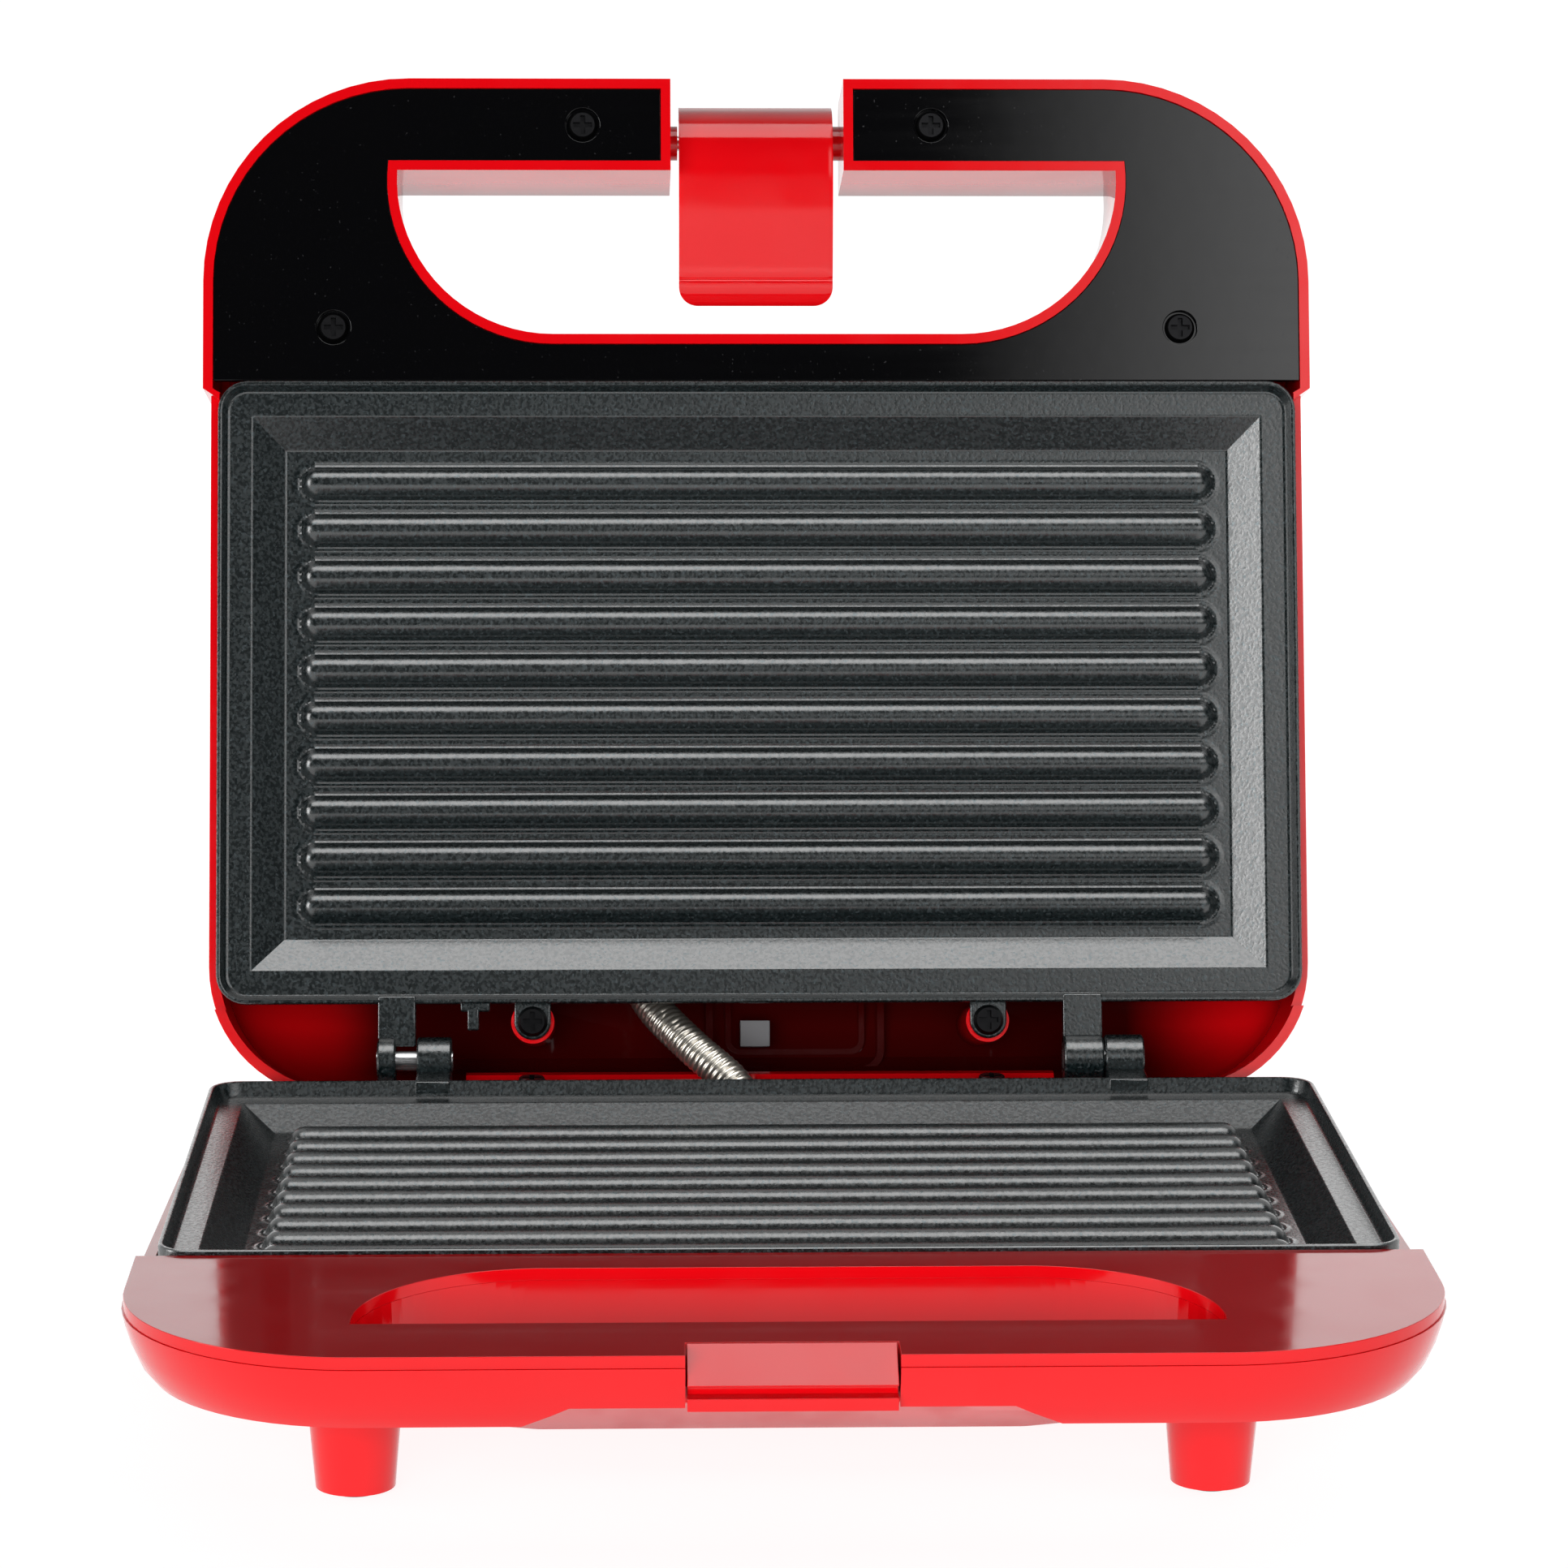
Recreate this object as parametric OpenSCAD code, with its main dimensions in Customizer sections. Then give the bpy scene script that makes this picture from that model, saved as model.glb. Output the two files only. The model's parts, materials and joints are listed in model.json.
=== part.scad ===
// Panini press: two ribbed grill plates in glossy red housings, hinged at the back,
// with a swinging latch on the lid's handle. Stored with the lid open on its stop.
// X runs to the right, Y to the back, Z up. The origin is on the table, under the
// middle of the open press. Most modules are drawn in the plates' own frame: its origin
// is the middle of the lower plate, on the plane where the closed plates meet.

/* [Plates] */
// Width of both grill plates over their rims
plate_w = 221; // [180:1:270]
// Depth of both grill plates over their rims
plate_d = 127.5; // [104:0.5:155]
// Height of the raised lip round each plate
lip_h = 3; // [2.4:0.1:3.6]
// Width of the flat band inside the lip
band_w = 5; // [3:0.5:8]
// Width of the sloping bevel inside the band
bevel_w = 6.6; // [4:0.2:10]
// Height of the sloping bevel
bevel_h = 4.5; // [3:0.1:6]
// Thickness of the plate castings
plate_t = 3.4; // [2.8:0.1:4.5]
// Number of ribs on each plate
rib_count = 10; // [6:1:14]
// Radius of each rib's round top
rib_r = 3.3; // [2.5:0.1:4]
// Height of each rib over the floor of its plate
rib_h = 3; // [2:0.1:3.2]

/* [Housing] */
// Wall thickness of the moulded shells
wall = 2; // [1.6:0.1:2.6]
// How far the lid's body stands out beyond the plate on each side
lid_lip = 1.7; // [1.2:0.1:2.5]
// How far the lid's handle stands out beyond the plate on each side
lid_flare = 3.1; // [2.6:0.1:4]
// How far the base's handle stands out beyond the plate on each side
base_flare = 3.7; // [2.8:0.1:4.5]
// How far the lid's handle reaches in front of the plate
handle_reach = 62.85; // [56:0.5:75]
// Corner radius of the handles
handle_r = 42; // [34:0.5:50]
// Corner radius at the back of the housings
rear_r = 27; // [20:0.5:32]
// Height of the lid's body over the plane between the plates
lid_h = 40; // [36:0.5:48]
// Height of the lid's handle over the plane between the plates
lid_handle_h = 28; // [25:0.5:33]
// Depth of the base's skirt under the plane between the plates
skirt_h = 14.5; // [13:0.5:18]
// Depth of the base's pan under the plane between the plates
pan_h = 33; // [32:0.5:40]
// Height of that plane over the table
plane_h = 39; // [38:0.5:47]

/* [Handles] */
// Width of the bar in front of each finger hole
bar_w = 19.1; // [16:0.1:22]
// Width of each finger hole at the bar
hole_w = 148; // [120:1:178]
// Depth of each finger hole
hole_d = 34; // [28:0.5:40]
// Gap in the lid's bar for the latch
latch_gap = 35.6; // [32:0.1:42]

/* [Hinge and latch] */
// Distance of the hinge axis behind the plates
hinge_back = 11.55; // [10.5:0.05:14]
// Height of the hinge axis over the plane between the plates
hinge_up = 1; // [0.8:0.1:1.2]
// Distance of the lid's back wall behind the hinge axis
rear_gap = 7.7; // [7.5:0.1:9]
// How far the lid opens, in degrees
open_angle = 104.8; // [95:0.2:106]
// Radius of the hinge pins
hinge_pin_r = 2; // [1.6:0.1:2.4]
// Radius of the hinge knuckles
knuckle_r = 4.8; // [4.4:0.1:4.9]
// Radial running clearance of the pins
run_gap = 0.06; // [0.04:0.01:0.09]
// Width of the latch
latch_w = 32; // [28:0.5:34]
// Radius of the latch pin
latch_pin_r = 1.6; // [1.2:0.1:2]
// Height of the latch pin over the plane between the plates
latch_pin_up = 20; // [18:0.5:22]

/* [Small parts] */
// Radius of the small screws' shanks
screw_r = 1.4; // [1.1:0.1:1.6]
// Radius of the small screws' heads
head_r = 3.1; // [2.6:0.1:3.5]
// Radius of the sheathed heating elements
element_r = 3.2; // [2.6:0.1:3.8]
// Radius of the spring-wound wiring conduit
conduit_r = 3.75; // [3:0.25:4.25]
// Bore radius of the cord gland
gland_r = 3.4; // [2.8:0.1:4]
// Radius of the foot posts at the top
foot_r = 9.2; // [8:0.1:10]

/* [Hidden] */
$fn = 64;
hull_fn = 32;

red = [0.86, 0.03, 0.05];
black = [0.04, 0.04, 0.045];
casting = [0.22, 0.25, 0.26];
steel = [0.72, 0.73, 0.74];

eps = 0.01;               // overlap that keeps joined pieces one solid
sheet = 0.05;             // thickness of a hull's outline layers
part_gap = 0.25;          // gap between neighbouring pieces that only sit close
meet = 0.2;               // distance of each plate's rim from the plane where they meet
cover_t = 2.2;            // thickness of the handle covers
border = 2;               // width of shell seen round the lid's handle cover
edge_gap = 0.5;           // distance of the lid handle's edge from the meeting plane
cover_drop = 1;           // distance of the base's handle cover from the meeting plane

// Plates
half_w = plate_w / 2;
half_d = plate_d / 2;
lip_slope = 1.8;          // width of the lip's sloping inner side
lip_top = 0.9;            // width of the lip's flat top
rim_r = 6;                // corner radius of the rims
band_z = meet + lip_h;
floor_z = band_z + bevel_h;
under_z = floor_z + plate_t;
band_in = lip_slope + band_w;
floor_in = band_in + bevel_w;
flange_t = lip_h + 1.4;    // thickness of the plates' rims
arm_t = 3;                // thickness of the hinge arms
ear_drop = 2;             // how far the screw ears lie below the rims
rib_end = 3.3;            // distance of the ribs' ends from the bevel
rib_side = 3.5;           // distance of the outer ribs from the bevel
rib_half = half_w - floor_in - rib_end - rib_r;
rib_row = half_d - floor_in - rib_side - rib_r;
rib_pitch = 2 * rib_row / (rib_count - 1);

// Hinge
pin_y = half_d + hinge_back;
pin_z = hinge_up;
rear_y = pin_y + rear_gap;
knuckle_in = half_w - 47.8;        // inner end of each hinge
knuckle_w = 7;            // width of one knuckle
hinge_w = 15;             // length of each hinge
axis_gap = 0.3;           // side clearance between knuckles
thin_knuckle_w = 3.7;     // width of the upper plate's left knuckle
arm_step = 1.2;           // how far the upper plate's right knuckle starts inside
right_knuckle = knuckle_in + hinge_w - knuckle_w - 0.9;

// Outlines
front_y = -half_d - handle_reach;
step_y = -half_d + 1.5;
lid_half = half_w + lid_lip;
lid_handle_half = half_w + lid_flare;
base_half = half_w + 0.5;
base_handle_half = half_w + base_flare;
base_front = front_y - 0.9;
base_rear = rear_y - 0.7;
hole_front = front_y + bar_w;
hole_back = hole_front + hole_d;
hole_r = hole_d - 2;
hole_arc_x = hole_w / 2 - hole_r;
cover_back = -half_d - part_gap;

// Shell profiles, each a list of [distance in from the outline, height]
lid_body_profile = [[0, flange_t + meet], [0, lid_h - 13], [2.2, lid_h - 7], [7, lid_h - 2], [17, lid_h]];
lid_handle_profile = [[0, edge_gap], [0, lid_handle_h - 4], [1.2, lid_handle_h - 1.2], [4, lid_handle_h]];
skirt_top = cover_drop + cover_t;
skirt_profile = [[0, -skirt_top], [0.4, -skirt_h * 0.35], [1.4, -skirt_h * 0.58], [3, -skirt_h * 0.83],
                 [5, -skirt_h]];

// Latch
latch_y = front_y + bar_w / 2;
catch_half = latch_gap / 2 - 0.3;
catch_edge = 6.2;         // depth of the catch's hooking edge
catch_low = 8.4;          // depth of the lower side of its groove
catch_foot = 10.6;        // depth of the relief under the catch
groove_d = 3;             // depth of the groove under the hooking edge
face_gap = 0.35;          // gap between the closed latch and the catch
latch_t = 2.4;            // thickness of the latch's face
hub_r = latch_pin_r + 2.4;
latch_in = latch_y - base_front + face_gap;
latch_drop = 33;          // length of the latch below its pin
latch_cap_r = 7.5;        // radius of the latch's rounded top

// Screws, feet and inner pieces
// [x, y, depth of the base's floor there]
cover_screws = [[35.9, front_y + bar_w / 2, catch_foot], [87, -half_d - 11.2, skirt_h]];
seat = 1.8;               // thickness of floor that a base cover screw's head is sunk into
sunk_r = head_r + 0.5;
cross_l = head_r * 1.25;  // length and width of the screws' cross recess
cross_w = 1;
ear_x = 46.4;
ear_y = half_d + 3.65;
ear_r = 3.7;
post_r = 4.4;
foot_x = 74.8;
foot_taper = 2.2;         // how much narrower a foot is at the table
foot_front = -half_d - 16.2;
foot_rear = half_d + 2.5;
pad_r = 5.2;
pad_h = 3;
coil_x = half_w - 54.5;               // where the element's bend starts
coil_r = 26;
coil_end = 38.5 - half_w;           // where its sheath ends
element_bite = 0.3;
element_z = under_z + element_r - element_bite;
shield_t = 0.8;
shield_z = under_z + 2 * element_r + 1.6;
shield_half_w = half_w - 20;
shield_half_d = half_d - 20;
shield_rear = half_d - 24;
gland_x = 30;
gland_z = -19;
block_x = 8;              // left side of the terminal block
block_w = 30;
block_d = 14;
block_h = 8;
block_pitch = 10;
fuse_x = -15;             // left end of the thermal fuse
fuse_l = 28;
fuse_y = 27;
fuse_z = shield_z + shield_t + 2.3;
lens_r = 3.5;
lens_x = 10;
lens_y = -half_d + 26;
ring_x = 8;
ring_y = half_d + 0.2;

// The open lid's lowest and furthest points fix the origin
function open_y(y, z) = pin_y + (y - pin_y) * cos(open_angle) + (z - pin_z) * sin(open_angle);
function open_z(y, z) = pin_z - (y - pin_y) * sin(open_angle) + (z - pin_z) * cos(open_angle);
back_most = max([for (p = lid_handle_profile) open_y(front_y + p[0], p[1])]);
frame_y = (back_most + base_front) / 2;
latch_at = [0, open_y(latch_y, latch_pin_up), open_z(latch_y, latch_pin_up)];

// Routes of the wires and of the conduit
conduit_route = [[-2, half_d + 6.2, -13], [-5, half_d + 10, -4.5], [-14, half_d + 17, 2.5], [-22, half_d + 26, 9],
                 [-26, half_d + 34, 16], [-27, half_d + 39, 25]];
wire_r = 1.1;
wire_gap = 0.4;           // gap between a wire's end and what it is joined to
terminal_x = coil_end - 11 - wire_gap;
base_wire_routes = [
  [[gland_x, base_rear - 11, gland_z], [gland_x - 0.5, base_rear - 12.2, gland_z - 2],
   [gland_x - 2, half_d + 3.3 + wire_r + wire_gap, gland_z - 4.5]],
  [[terminal_x, coil_r, -element_z], [-94.5, 27, -14], [-96, 32, -19], [-90, 40, -23], [-70, 48, -25], [-40, 54, -26],
   [-8, 59, -25], [block_x - 2 * wire_gap, 60, -24]],
  [[terminal_x, -coil_r, -element_z], [-94.5, -24, -14], [-96, -15, -19.5], [-88, 8, -24], [-66, 34, -27], [-30, 48, -27.5],
   [-4, 53, -27], [block_x - 2 * wire_gap, 55, -25]]
];
lid_wire_routes = [
  [[terminal_x, coil_r, element_z], [-94.5, 27, 14], [-96, 32, 19.5], [-86, 42, 24], [-60, 47, 26], [-34, 48, 25]],
  [[terminal_x, -coil_r, element_z], [-94.5, -24, 14], [-96, -14, 20], [-84, 6, 24.5], [-50, 24, 25],
   [fuse_x - 2 * wire_gap, fuse_y, fuse_z]],
  [[fuse_x + fuse_l + 2 * wire_gap, fuse_y, fuse_z], [20, 14, 26], [15, -12, 28], [lens_x, lens_y + 6.3, 30]]
];

// ---- frames ----

module in_frame() {
  translate([0, -frame_y, plane_h]) children();
}

module on_lid() {
  in_frame()
    translate([0, pin_y, pin_z])
      rotate([-open_angle, 0, 0])
        translate([0, -pin_y, -pin_z])
          children();
}

module both_sides() {
  children();
  mirror([1, 0, 0]) children();
}

// ---- shared shapes ----

// A flat outline with round front corners, round back corners or both
module slab(hw, y0, y1, rf, rr) {
  difference() {
    translate([-hw, y0]) square([2 * hw, y1 - y0]);
    if (rf > 0) both_sides() translate([hw - rf, y0 + rf]) corner_waste(rf, -1);
    if (rr > 0) both_sides() translate([hw - rr, y1 - rr]) corner_waste(rr, 1);
  }
}

// What a corner of radius r loses; side is 1 at the back and -1 at the front
module corner_waste(r, side) {
  difference() {
    translate([0, side > 0 ? 0 : -r - 1]) square([r + 1, r + 1]);
    circle(r);
  }
}

// The corners of the same outline, for hulls
module corners(hw, y0, y1, rf, rr) {
  if (rf > 0) both_sides() translate([hw - rf, y0 + rf]) circle(rf, $fn = 2 * hull_fn);
  if (rf == 0) polygon([[-hw, y0], [hw, y0], [0, y0 + 1]]);
  if (rr > 0) both_sides() translate([hw - rr, y1 - rr]) circle(rr, $fn = 2 * hull_fn);
  if (rr == 0) polygon([[-hw, y1], [hw, y1], [0, y1 - 1]]);
}

module layer(z) {
  translate([0, 0, z]) linear_extrude(sheet) children();
}

// The finger hole's outline, grown all round by g
module finger_outline(g) {
  intersection() {
    translate([-hole_w, hole_front - g]) square([2 * hole_w, hole_d + 2 * g]);
    union() {
      both_sides() translate([hole_arc_x, hole_back - hole_r]) circle(hole_r + g);
      translate([-hole_arc_x, hole_front - g]) square([2 * hole_arc_x, hole_d + 2 * g]);
    }
  }
}

module prism(z0, z1) {
  translate([0, 0, z0]) linear_extrude(z1 - z0) children();
}

// A frustum between two rectangles, d0 and d1 inside the plate's rim
module taper(d0, z0, d1, z1) {
  hull() {
    layer(z0) square([plate_w - 2 * d0, plate_d - 2 * d0], center = true);
    layer(z1 - sheet) square([plate_w - 2 * d1, plate_d - 2 * d1], center = true);
  }
}

// A tube along a smooth curve through the points
function smooth(p, i, t) =
  let (a = p[max(i - 1, 0)], b = p[i], c = p[i + 1], d = p[min(i + 2, len(p) - 1)])
  0.5 * (2 * b + (c - a) * t + (2 * a - 5 * b + 4 * c - d) * t * t + (3 * b - a - 3 * c + d) * t * t * t);
function curve(p, n) = [for (i = [0 : len(p) - 2], k = [0 : n - 1]) smooth(p, i, k / n), p[len(p) - 1]];
function unit(v) = v / norm(v);

module tube(points, r, steps = 4, sides = 8) {
  c = curve(points, steps);
  last = len(c) - 1;
  rings = [for (i = [0 : last])
    let (t = unit(c[min(i + 1, last)] - c[max(i - 1, 0)]), u = unit(cross(t, [0.9, 0.3, 0.2])), v = cross(t, u))
    for (k = [0 : sides - 1]) c[i] + r * (cos(360 * k / sides) * u + sin(360 * k / sides) * v)];
  sides_faces = [for (i = [0 : last - 1], k = [0 : sides - 1])
    [i * sides + k, i * sides + (k + 1) % sides, (i + 1) * sides + (k + 1) % sides, (i + 1) * sides + k]];
  ends = [[for (k = [sides - 1 : -1 : 0]) k], [for (k = [0 : sides - 1]) last * sides + k]];
  polyhedron(rings, concat(sides_faces, ends), convexity = 6);
}

// A pan-head screw with a cross recess: the head sits on z = 0 and the shank points down
module screw(shank) {
  difference() {
    union() {
      cylinder(h = 1.6, r1 = head_r, r2 = head_r * 0.8);
      translate([0, 0, -shank]) cylinder(h = shank + eps, r = screw_r);
    }
    for (a = [0, 90]) rotate([0, 0, a]) translate([-cross_l / 2, -cross_w / 2, 0.7]) cube([cross_l, cross_w, 2]);
  }
}

// ---- grill plates, drawn as the lower one, cooking side up ----

module ribs() {
  for (i = [0 : rib_count - 1])
    translate([0, -rib_row + i * rib_pitch, -floor_z + rib_h - rib_r])
      intersection() {
        union() {
          translate([-rib_half, 0, 0]) rotate([0, 90, 0]) cylinder(h = 2 * rib_half, r = rib_r);
          both_sides() translate([rib_half, 0, 0]) sphere(rib_r);
        }
        translate([-half_w, -rib_r - 1, rib_r - rib_h - 0.5]) cube([plate_w, 2 * rib_r + 2, 2 * rib_r]);
      }
}

// An arm from the rim to the hinge axis, from x0 to x1 and up from z, with a knuckle from k0 to k1
module hinge_arm(x0, x1, k0, k1, z) {
  difference() {
    union() {
      translate([x0, half_d - 2, z]) cube([x1 - x0, hinge_back - knuckle_r + 4, arm_t]);
      translate([k0, half_d - 2, z]) cube([k1 - k0, hinge_back + 2, arm_t]);
      translate([k0, pin_y, pin_z]) rotate([0, 90, 0]) cylinder(h = k1 - k0, r = knuckle_r);
    }
    translate([k0 - 1, pin_y, pin_z]) rotate([0, 90, 0]) cylinder(h = k1 - k0 + 2, r = hinge_pin_r + run_gap);
  }
}

module plate_body() {
  difference() {
    union() {
      prism(-meet - flange_t, -meet) slab(half_w, -half_d, half_d, rim_r, rim_r);
      taper(band_in + 4.5, -under_z, 2.2, -meet - flange_t + eps);
      // ears for the screws at the back
      both_sides() difference() {
        union() {
          translate([ear_x, ear_y, -meet - flange_t]) cylinder(h = flange_t - ear_drop, r = ear_r);
          translate([ear_x - ear_r, half_d - 1, -meet - flange_t])
            cube([2 * ear_r, ear_y - half_d + 1, flange_t - ear_drop]);
        }
        translate([ear_x, ear_y, -10]) cylinder(h = 20, r = screw_r + 0.2);
      }
      // tongues that slip under the front of the housing
      both_sides() translate([56, -half_d - 5, -meet - flange_t]) cube([12, 9, 1.2]);
      // studs that carry the heat shield
      both_sides() for (y = [-1, 1]) translate([44, y * 10, -shield_z]) cylinder(h = shield_z - under_z + 1, r = 3);
    }
    taper(lip_top, -meet, lip_slope, -band_z);
    taper(band_in, -band_z + 0.02, floor_in, -floor_z);
    prism(-band_z, -meet + 1) square([plate_w - 2 * lip_slope, plate_d - 2 * lip_slope], center = true);
  }
  ribs();
}

module heating_element() {
  translate([0, 0, -element_z]) {
    for (y = [-1, 1]) {
      translate([coil_end, y * coil_r, 0]) rotate([0, 90, 0]) cylinder(h = coil_x - coil_end, r = element_r);
      translate([coil_end - 5, y * coil_r, 0]) rotate([0, 90, 0]) cylinder(h = 5 + eps, r = element_r + 0.8);
      translate([coil_end - 11, y * coil_r, 0]) rotate([0, 90, 0]) cylinder(h = 6 + eps, r = 1.2);
    }
    translate([coil_x - eps, 0, 0]) rotate([0, 0, -90]) rotate_extrude(angle = 180) translate([coil_r, 0]) circle(element_r);
  }
}

module heat_shield() {
  difference() {
    translate([-shield_half_w, -shield_half_d, -shield_z - shield_t])
      cube([2 * shield_half_w, shield_half_d + shield_rear, shield_t + 4]);
    translate([shield_t - shield_half_w, shield_t - shield_half_d, -shield_z])
      cube([2 * (shield_half_w - shield_t), shield_half_d + shield_rear - 2 * shield_t, 5]);
    cylinder(h = 100, r = 11, center = true);
  }
}

// ---- base ----

// The base's outer block, or with d above 0 the hollow d inside it
module skirt_ring(d, inset) {
  corners(base_handle_half - inset - d, base_front + inset + d, step_y, handle_r - inset - d, 0);
  corners(base_half - inset - d, step_y - 1, base_rear - inset - d, 0, rear_r - inset - d);
}

module skirt_block(d) {
  p = skirt_profile;
  hull() {
    layer(d > 0 ? 1 : p[0][1] - sheet) skirt_ring(d, 0);
    for (i = [1 : len(p) - 2]) layer(p[i][1]) skirt_ring(d, p[i][0]);
    layer(-skirt_h + d) skirt_ring(d, p[len(p) - 1][0]);
  }
}

module pan_block(d) {
  hull() {
    layer(-skirt_h + 3) corners(half_w - 7 - d, -half_d - 14 + d, base_rear - 1 - d, 12 - d, rear_r - d);
    layer(-pan_h + 10) corners(half_w - 11 - d, -half_d - 12 + d, base_rear - 1 - d, 12 - d, rear_r - d);
    layer(-pan_h + 5.5 + d) corners(half_w - 18 - d, -half_d - 7 + d, base_rear - 4 - d, 12 - d, 14 - d);
    layer(-pan_h + d) corners(half_w - 60 - d, -half_d - 1 + d, base_rear - 12 - d, 8 - d, 8 - d);
  }
}

// Room that the lid's back wall and corners swing through
module lid_sweep() {
  sweep_r = rear_gap + 0.9;
  slope = open_angle - 90;
  translate([-200, pin_y, pin_z]) rotate([0, 90, 0]) cylinder(h = 400, r = sweep_r);
  translate([-200, pin_y, pin_z]) rotate([-slope, 0, 0]) translate([0, 0, -sweep_r]) cube([400, 60, 60]);
}

module relief_outline() {
  flat = 37;
  ramp = 8;
  polygon([[-flat - ramp, -40], [-flat - ramp, -skirt_h], [-flat, -catch_foot], [flat, -catch_foot],
           [flat + ramp, -skirt_h], [flat + ramp, -40]]);
}

module foot_post(y, top) {
  translate([foot_x, y, -plane_h + 1]) {
    cylinder(h = plane_h - 1 - top, r1 = foot_r - foot_taper, r2 = foot_r);
  }
}

module base_shell() {
  color(red) in_frame() {
    difference() {
      union() {
        difference() {
          union() {
            skirt_block(0);
            pan_block(0);
          }
          // hollow inside, with a floor under the handle
          difference() {
            skirt_block(wall);
            prism(-skirt_h - 1, 0) finger_outline(wall);
          }
          pan_block(wall);
          // raised middle of the front edge, closed by its own floor
          translate([0, base_front - 1, 0]) rotate([90, 0, 180]) mirror([1, 0, 0])
            linear_extrude(hole_front - wall - base_front + 1) relief_outline();
        }
        intersection() {
          skirt_block(0);
          translate([-46, base_front + 0.6, -catch_foot]) cube([92, bar_w - 0.6, wall]);
        }
        both_sides() {
          foot_post(foot_front, skirt_h - 1.5);
          foot_post(foot_rear, pan_h - 7);
          // posts for the screws of the plate and of the handle cover
          translate([ear_x, ear_y, -pan_h + 1.5]) cylinder(h = pan_h - 1.5 - meet - flange_t, r = post_r);
          for (p = cover_screws) translate([p[0], p[1], 0.5 - p[2]])
            cylinder(h = p[2] - 0.5 - skirt_top, r = sunk_r + 1.2);
        }
        // pads under the terminal block and round the cord gland
        translate([block_x - 2, half_d - 13, -pan_h + 1]) cube([block_w + 4, block_d + 4, 4.5]);
        translate([gland_x, base_rear - 4, gland_z]) rotate([-90, 0, 0]) cylinder(h = 3, r = 9);
      }
      lid_sweep_cut();
      // the plate's rim rests on the side walls
      translate([-half_w - 5, cover_back, -meet - flange_t]) cube([plate_w + 10, plate_d + part_gap + 0.6, 10]);
      prism(-skirt_h - 1, 1) finger_outline(0);
      // notch that the catch fits in
      translate([-catch_half - 0.3, base_front - 1, -catch_foot - 1]) cube([2 * catch_half + 0.6, 9, 12]);
      both_sides() {
        translate([ear_x, ear_y, -18]) cylinder(h = 20, r = screw_r + run_gap);
        for (p = cover_screws) translate([p[0], p[1], -skirt_h - 2]) {
          cylinder(h = 20, r = screw_r + 0.3);
          cylinder(h = skirt_h + 2 - p[2] + seat, r = sunk_r);
        }
        for (y = [foot_front, foot_rear])
          translate([foot_x, y, -plane_h]) cylinder(h = pad_h, r = pad_r + 0.05);
      }
      translate([gland_x, base_rear - 10, gland_z]) rotate([-90, 0, 0]) cylinder(h = 20, r = gland_r + 2);
    }
  }
}

// The back of the base is cut low where the lid's back wall swings down behind it,
// and keeps a raised tab between the hinges
module lid_sweep_cut() {
  tab = 60;
  difference() {
    lid_sweep();
    translate([-tab, base_rear - 2 * wall, -40]) cube([2 * tab, wall * 3, 40 - 2.5]);
  }
  translate([-tab - 1, base_rear - wall, -2.5]) cube([2 * tab + 2, 10, 20]);
}

module base_handle_cover() {
  color(red) in_frame()
    difference() {
      prism(-cover_drop - cover_t, -cover_drop)
        slab(base_handle_half - 0.3, base_front + 0.3, cover_back, handle_r - 0.3, 0);
      prism(-10, 1) finger_outline(0);
      translate([-catch_half - 0.3, base_front - 1, -10]) cube([2 * catch_half + 0.6, 8.9, 12]);
      both_sides() for (p = cover_screws) translate([p[0], p[1], -10]) cylinder(h = 10 - cover_drop - 0.8, r = screw_r + run_gap);
    }
}

module latch_catch() {
  y0 = base_front;
  color(red) in_frame()
    translate([-catch_half, 0, 0]) rotate([90, 0, 90]) linear_extrude(2 * catch_half)
      polygon([[y0 + 7.6, -cover_drop], [y0 + 7.2, -cover_drop], [y0, -catch_edge], [y0 + 0.1, -catch_edge - 0.2],
               [y0 + groove_d, -catch_edge - 0.2], [y0 + groove_d, -catch_low], [y0, -catch_low],
               [y0, -catch_foot], [y0 + 7.6, -catch_foot]]);
}

module lower_plate() {
  color(casting) in_frame() {
    plate_body();
    // each left-hand knuckle belongs to the upper plate, each right-hand one to the lower
    hinge_arm(-knuckle_in - knuckle_w, -knuckle_in, -knuckle_in - knuckle_w, -knuckle_in, -meet - arm_t);
    hinge_arm(right_knuckle, knuckle_in + hinge_w, right_knuckle, knuckle_in + hinge_w, -meet - arm_t);
  }
}

module lower_heating_element() {
  color(steel) in_frame() heating_element();
}

module lower_heat_shield() {
  color(steel) in_frame() heat_shield();
}

module lower_plate_screws() {
  color("dimgray") in_frame()
    both_sides() translate([ear_x, ear_y, -meet - ear_drop]) screw(11);
}

module base_cover_screws() {
  color("dimgray") in_frame()
    both_sides() for (p = cover_screws) translate([p[0], p[1], seat - p[2]]) rotate([180, 0, 0])
      screw(p[2] - seat - cover_drop - 1);
}

module foot_pads() {
  color(black) in_frame()
    both_sides() for (y = [foot_front, foot_rear]) translate([foot_x, y, -plane_h]) {
      cylinder(h = pad_h - 0.05, r = pad_r - 0.8);
      translate([0, 0, 0.8]) cylinder(h = pad_h - 0.85, r = pad_r);
    }
}

module hinge_pin(x) {
  color(steel) in_frame() {
    translate([x, pin_y, pin_z]) rotate([0, 90, 0]) cylinder(h = hinge_w + 0.4, r = hinge_pin_r);
  }
}

module hinge_pin_left() {
  hinge_pin(-knuckle_in - hinge_w - 0.2);
}

module hinge_pin_right() {
  hinge_pin(knuckle_in - arm_step);
}

module thermostat() {
  color("silver") in_frame() {
    translate([0, 0, -under_z - 6]) cylinder(h = 6, r = 8);
    translate([0, 0, -under_z - 9]) cylinder(h = 3 + eps, r = 6.5);
    both_sides() translate([4, -1.5, -under_z - 8.6]) cube([6.2, 3, 0.8]);
  }
}

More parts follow.
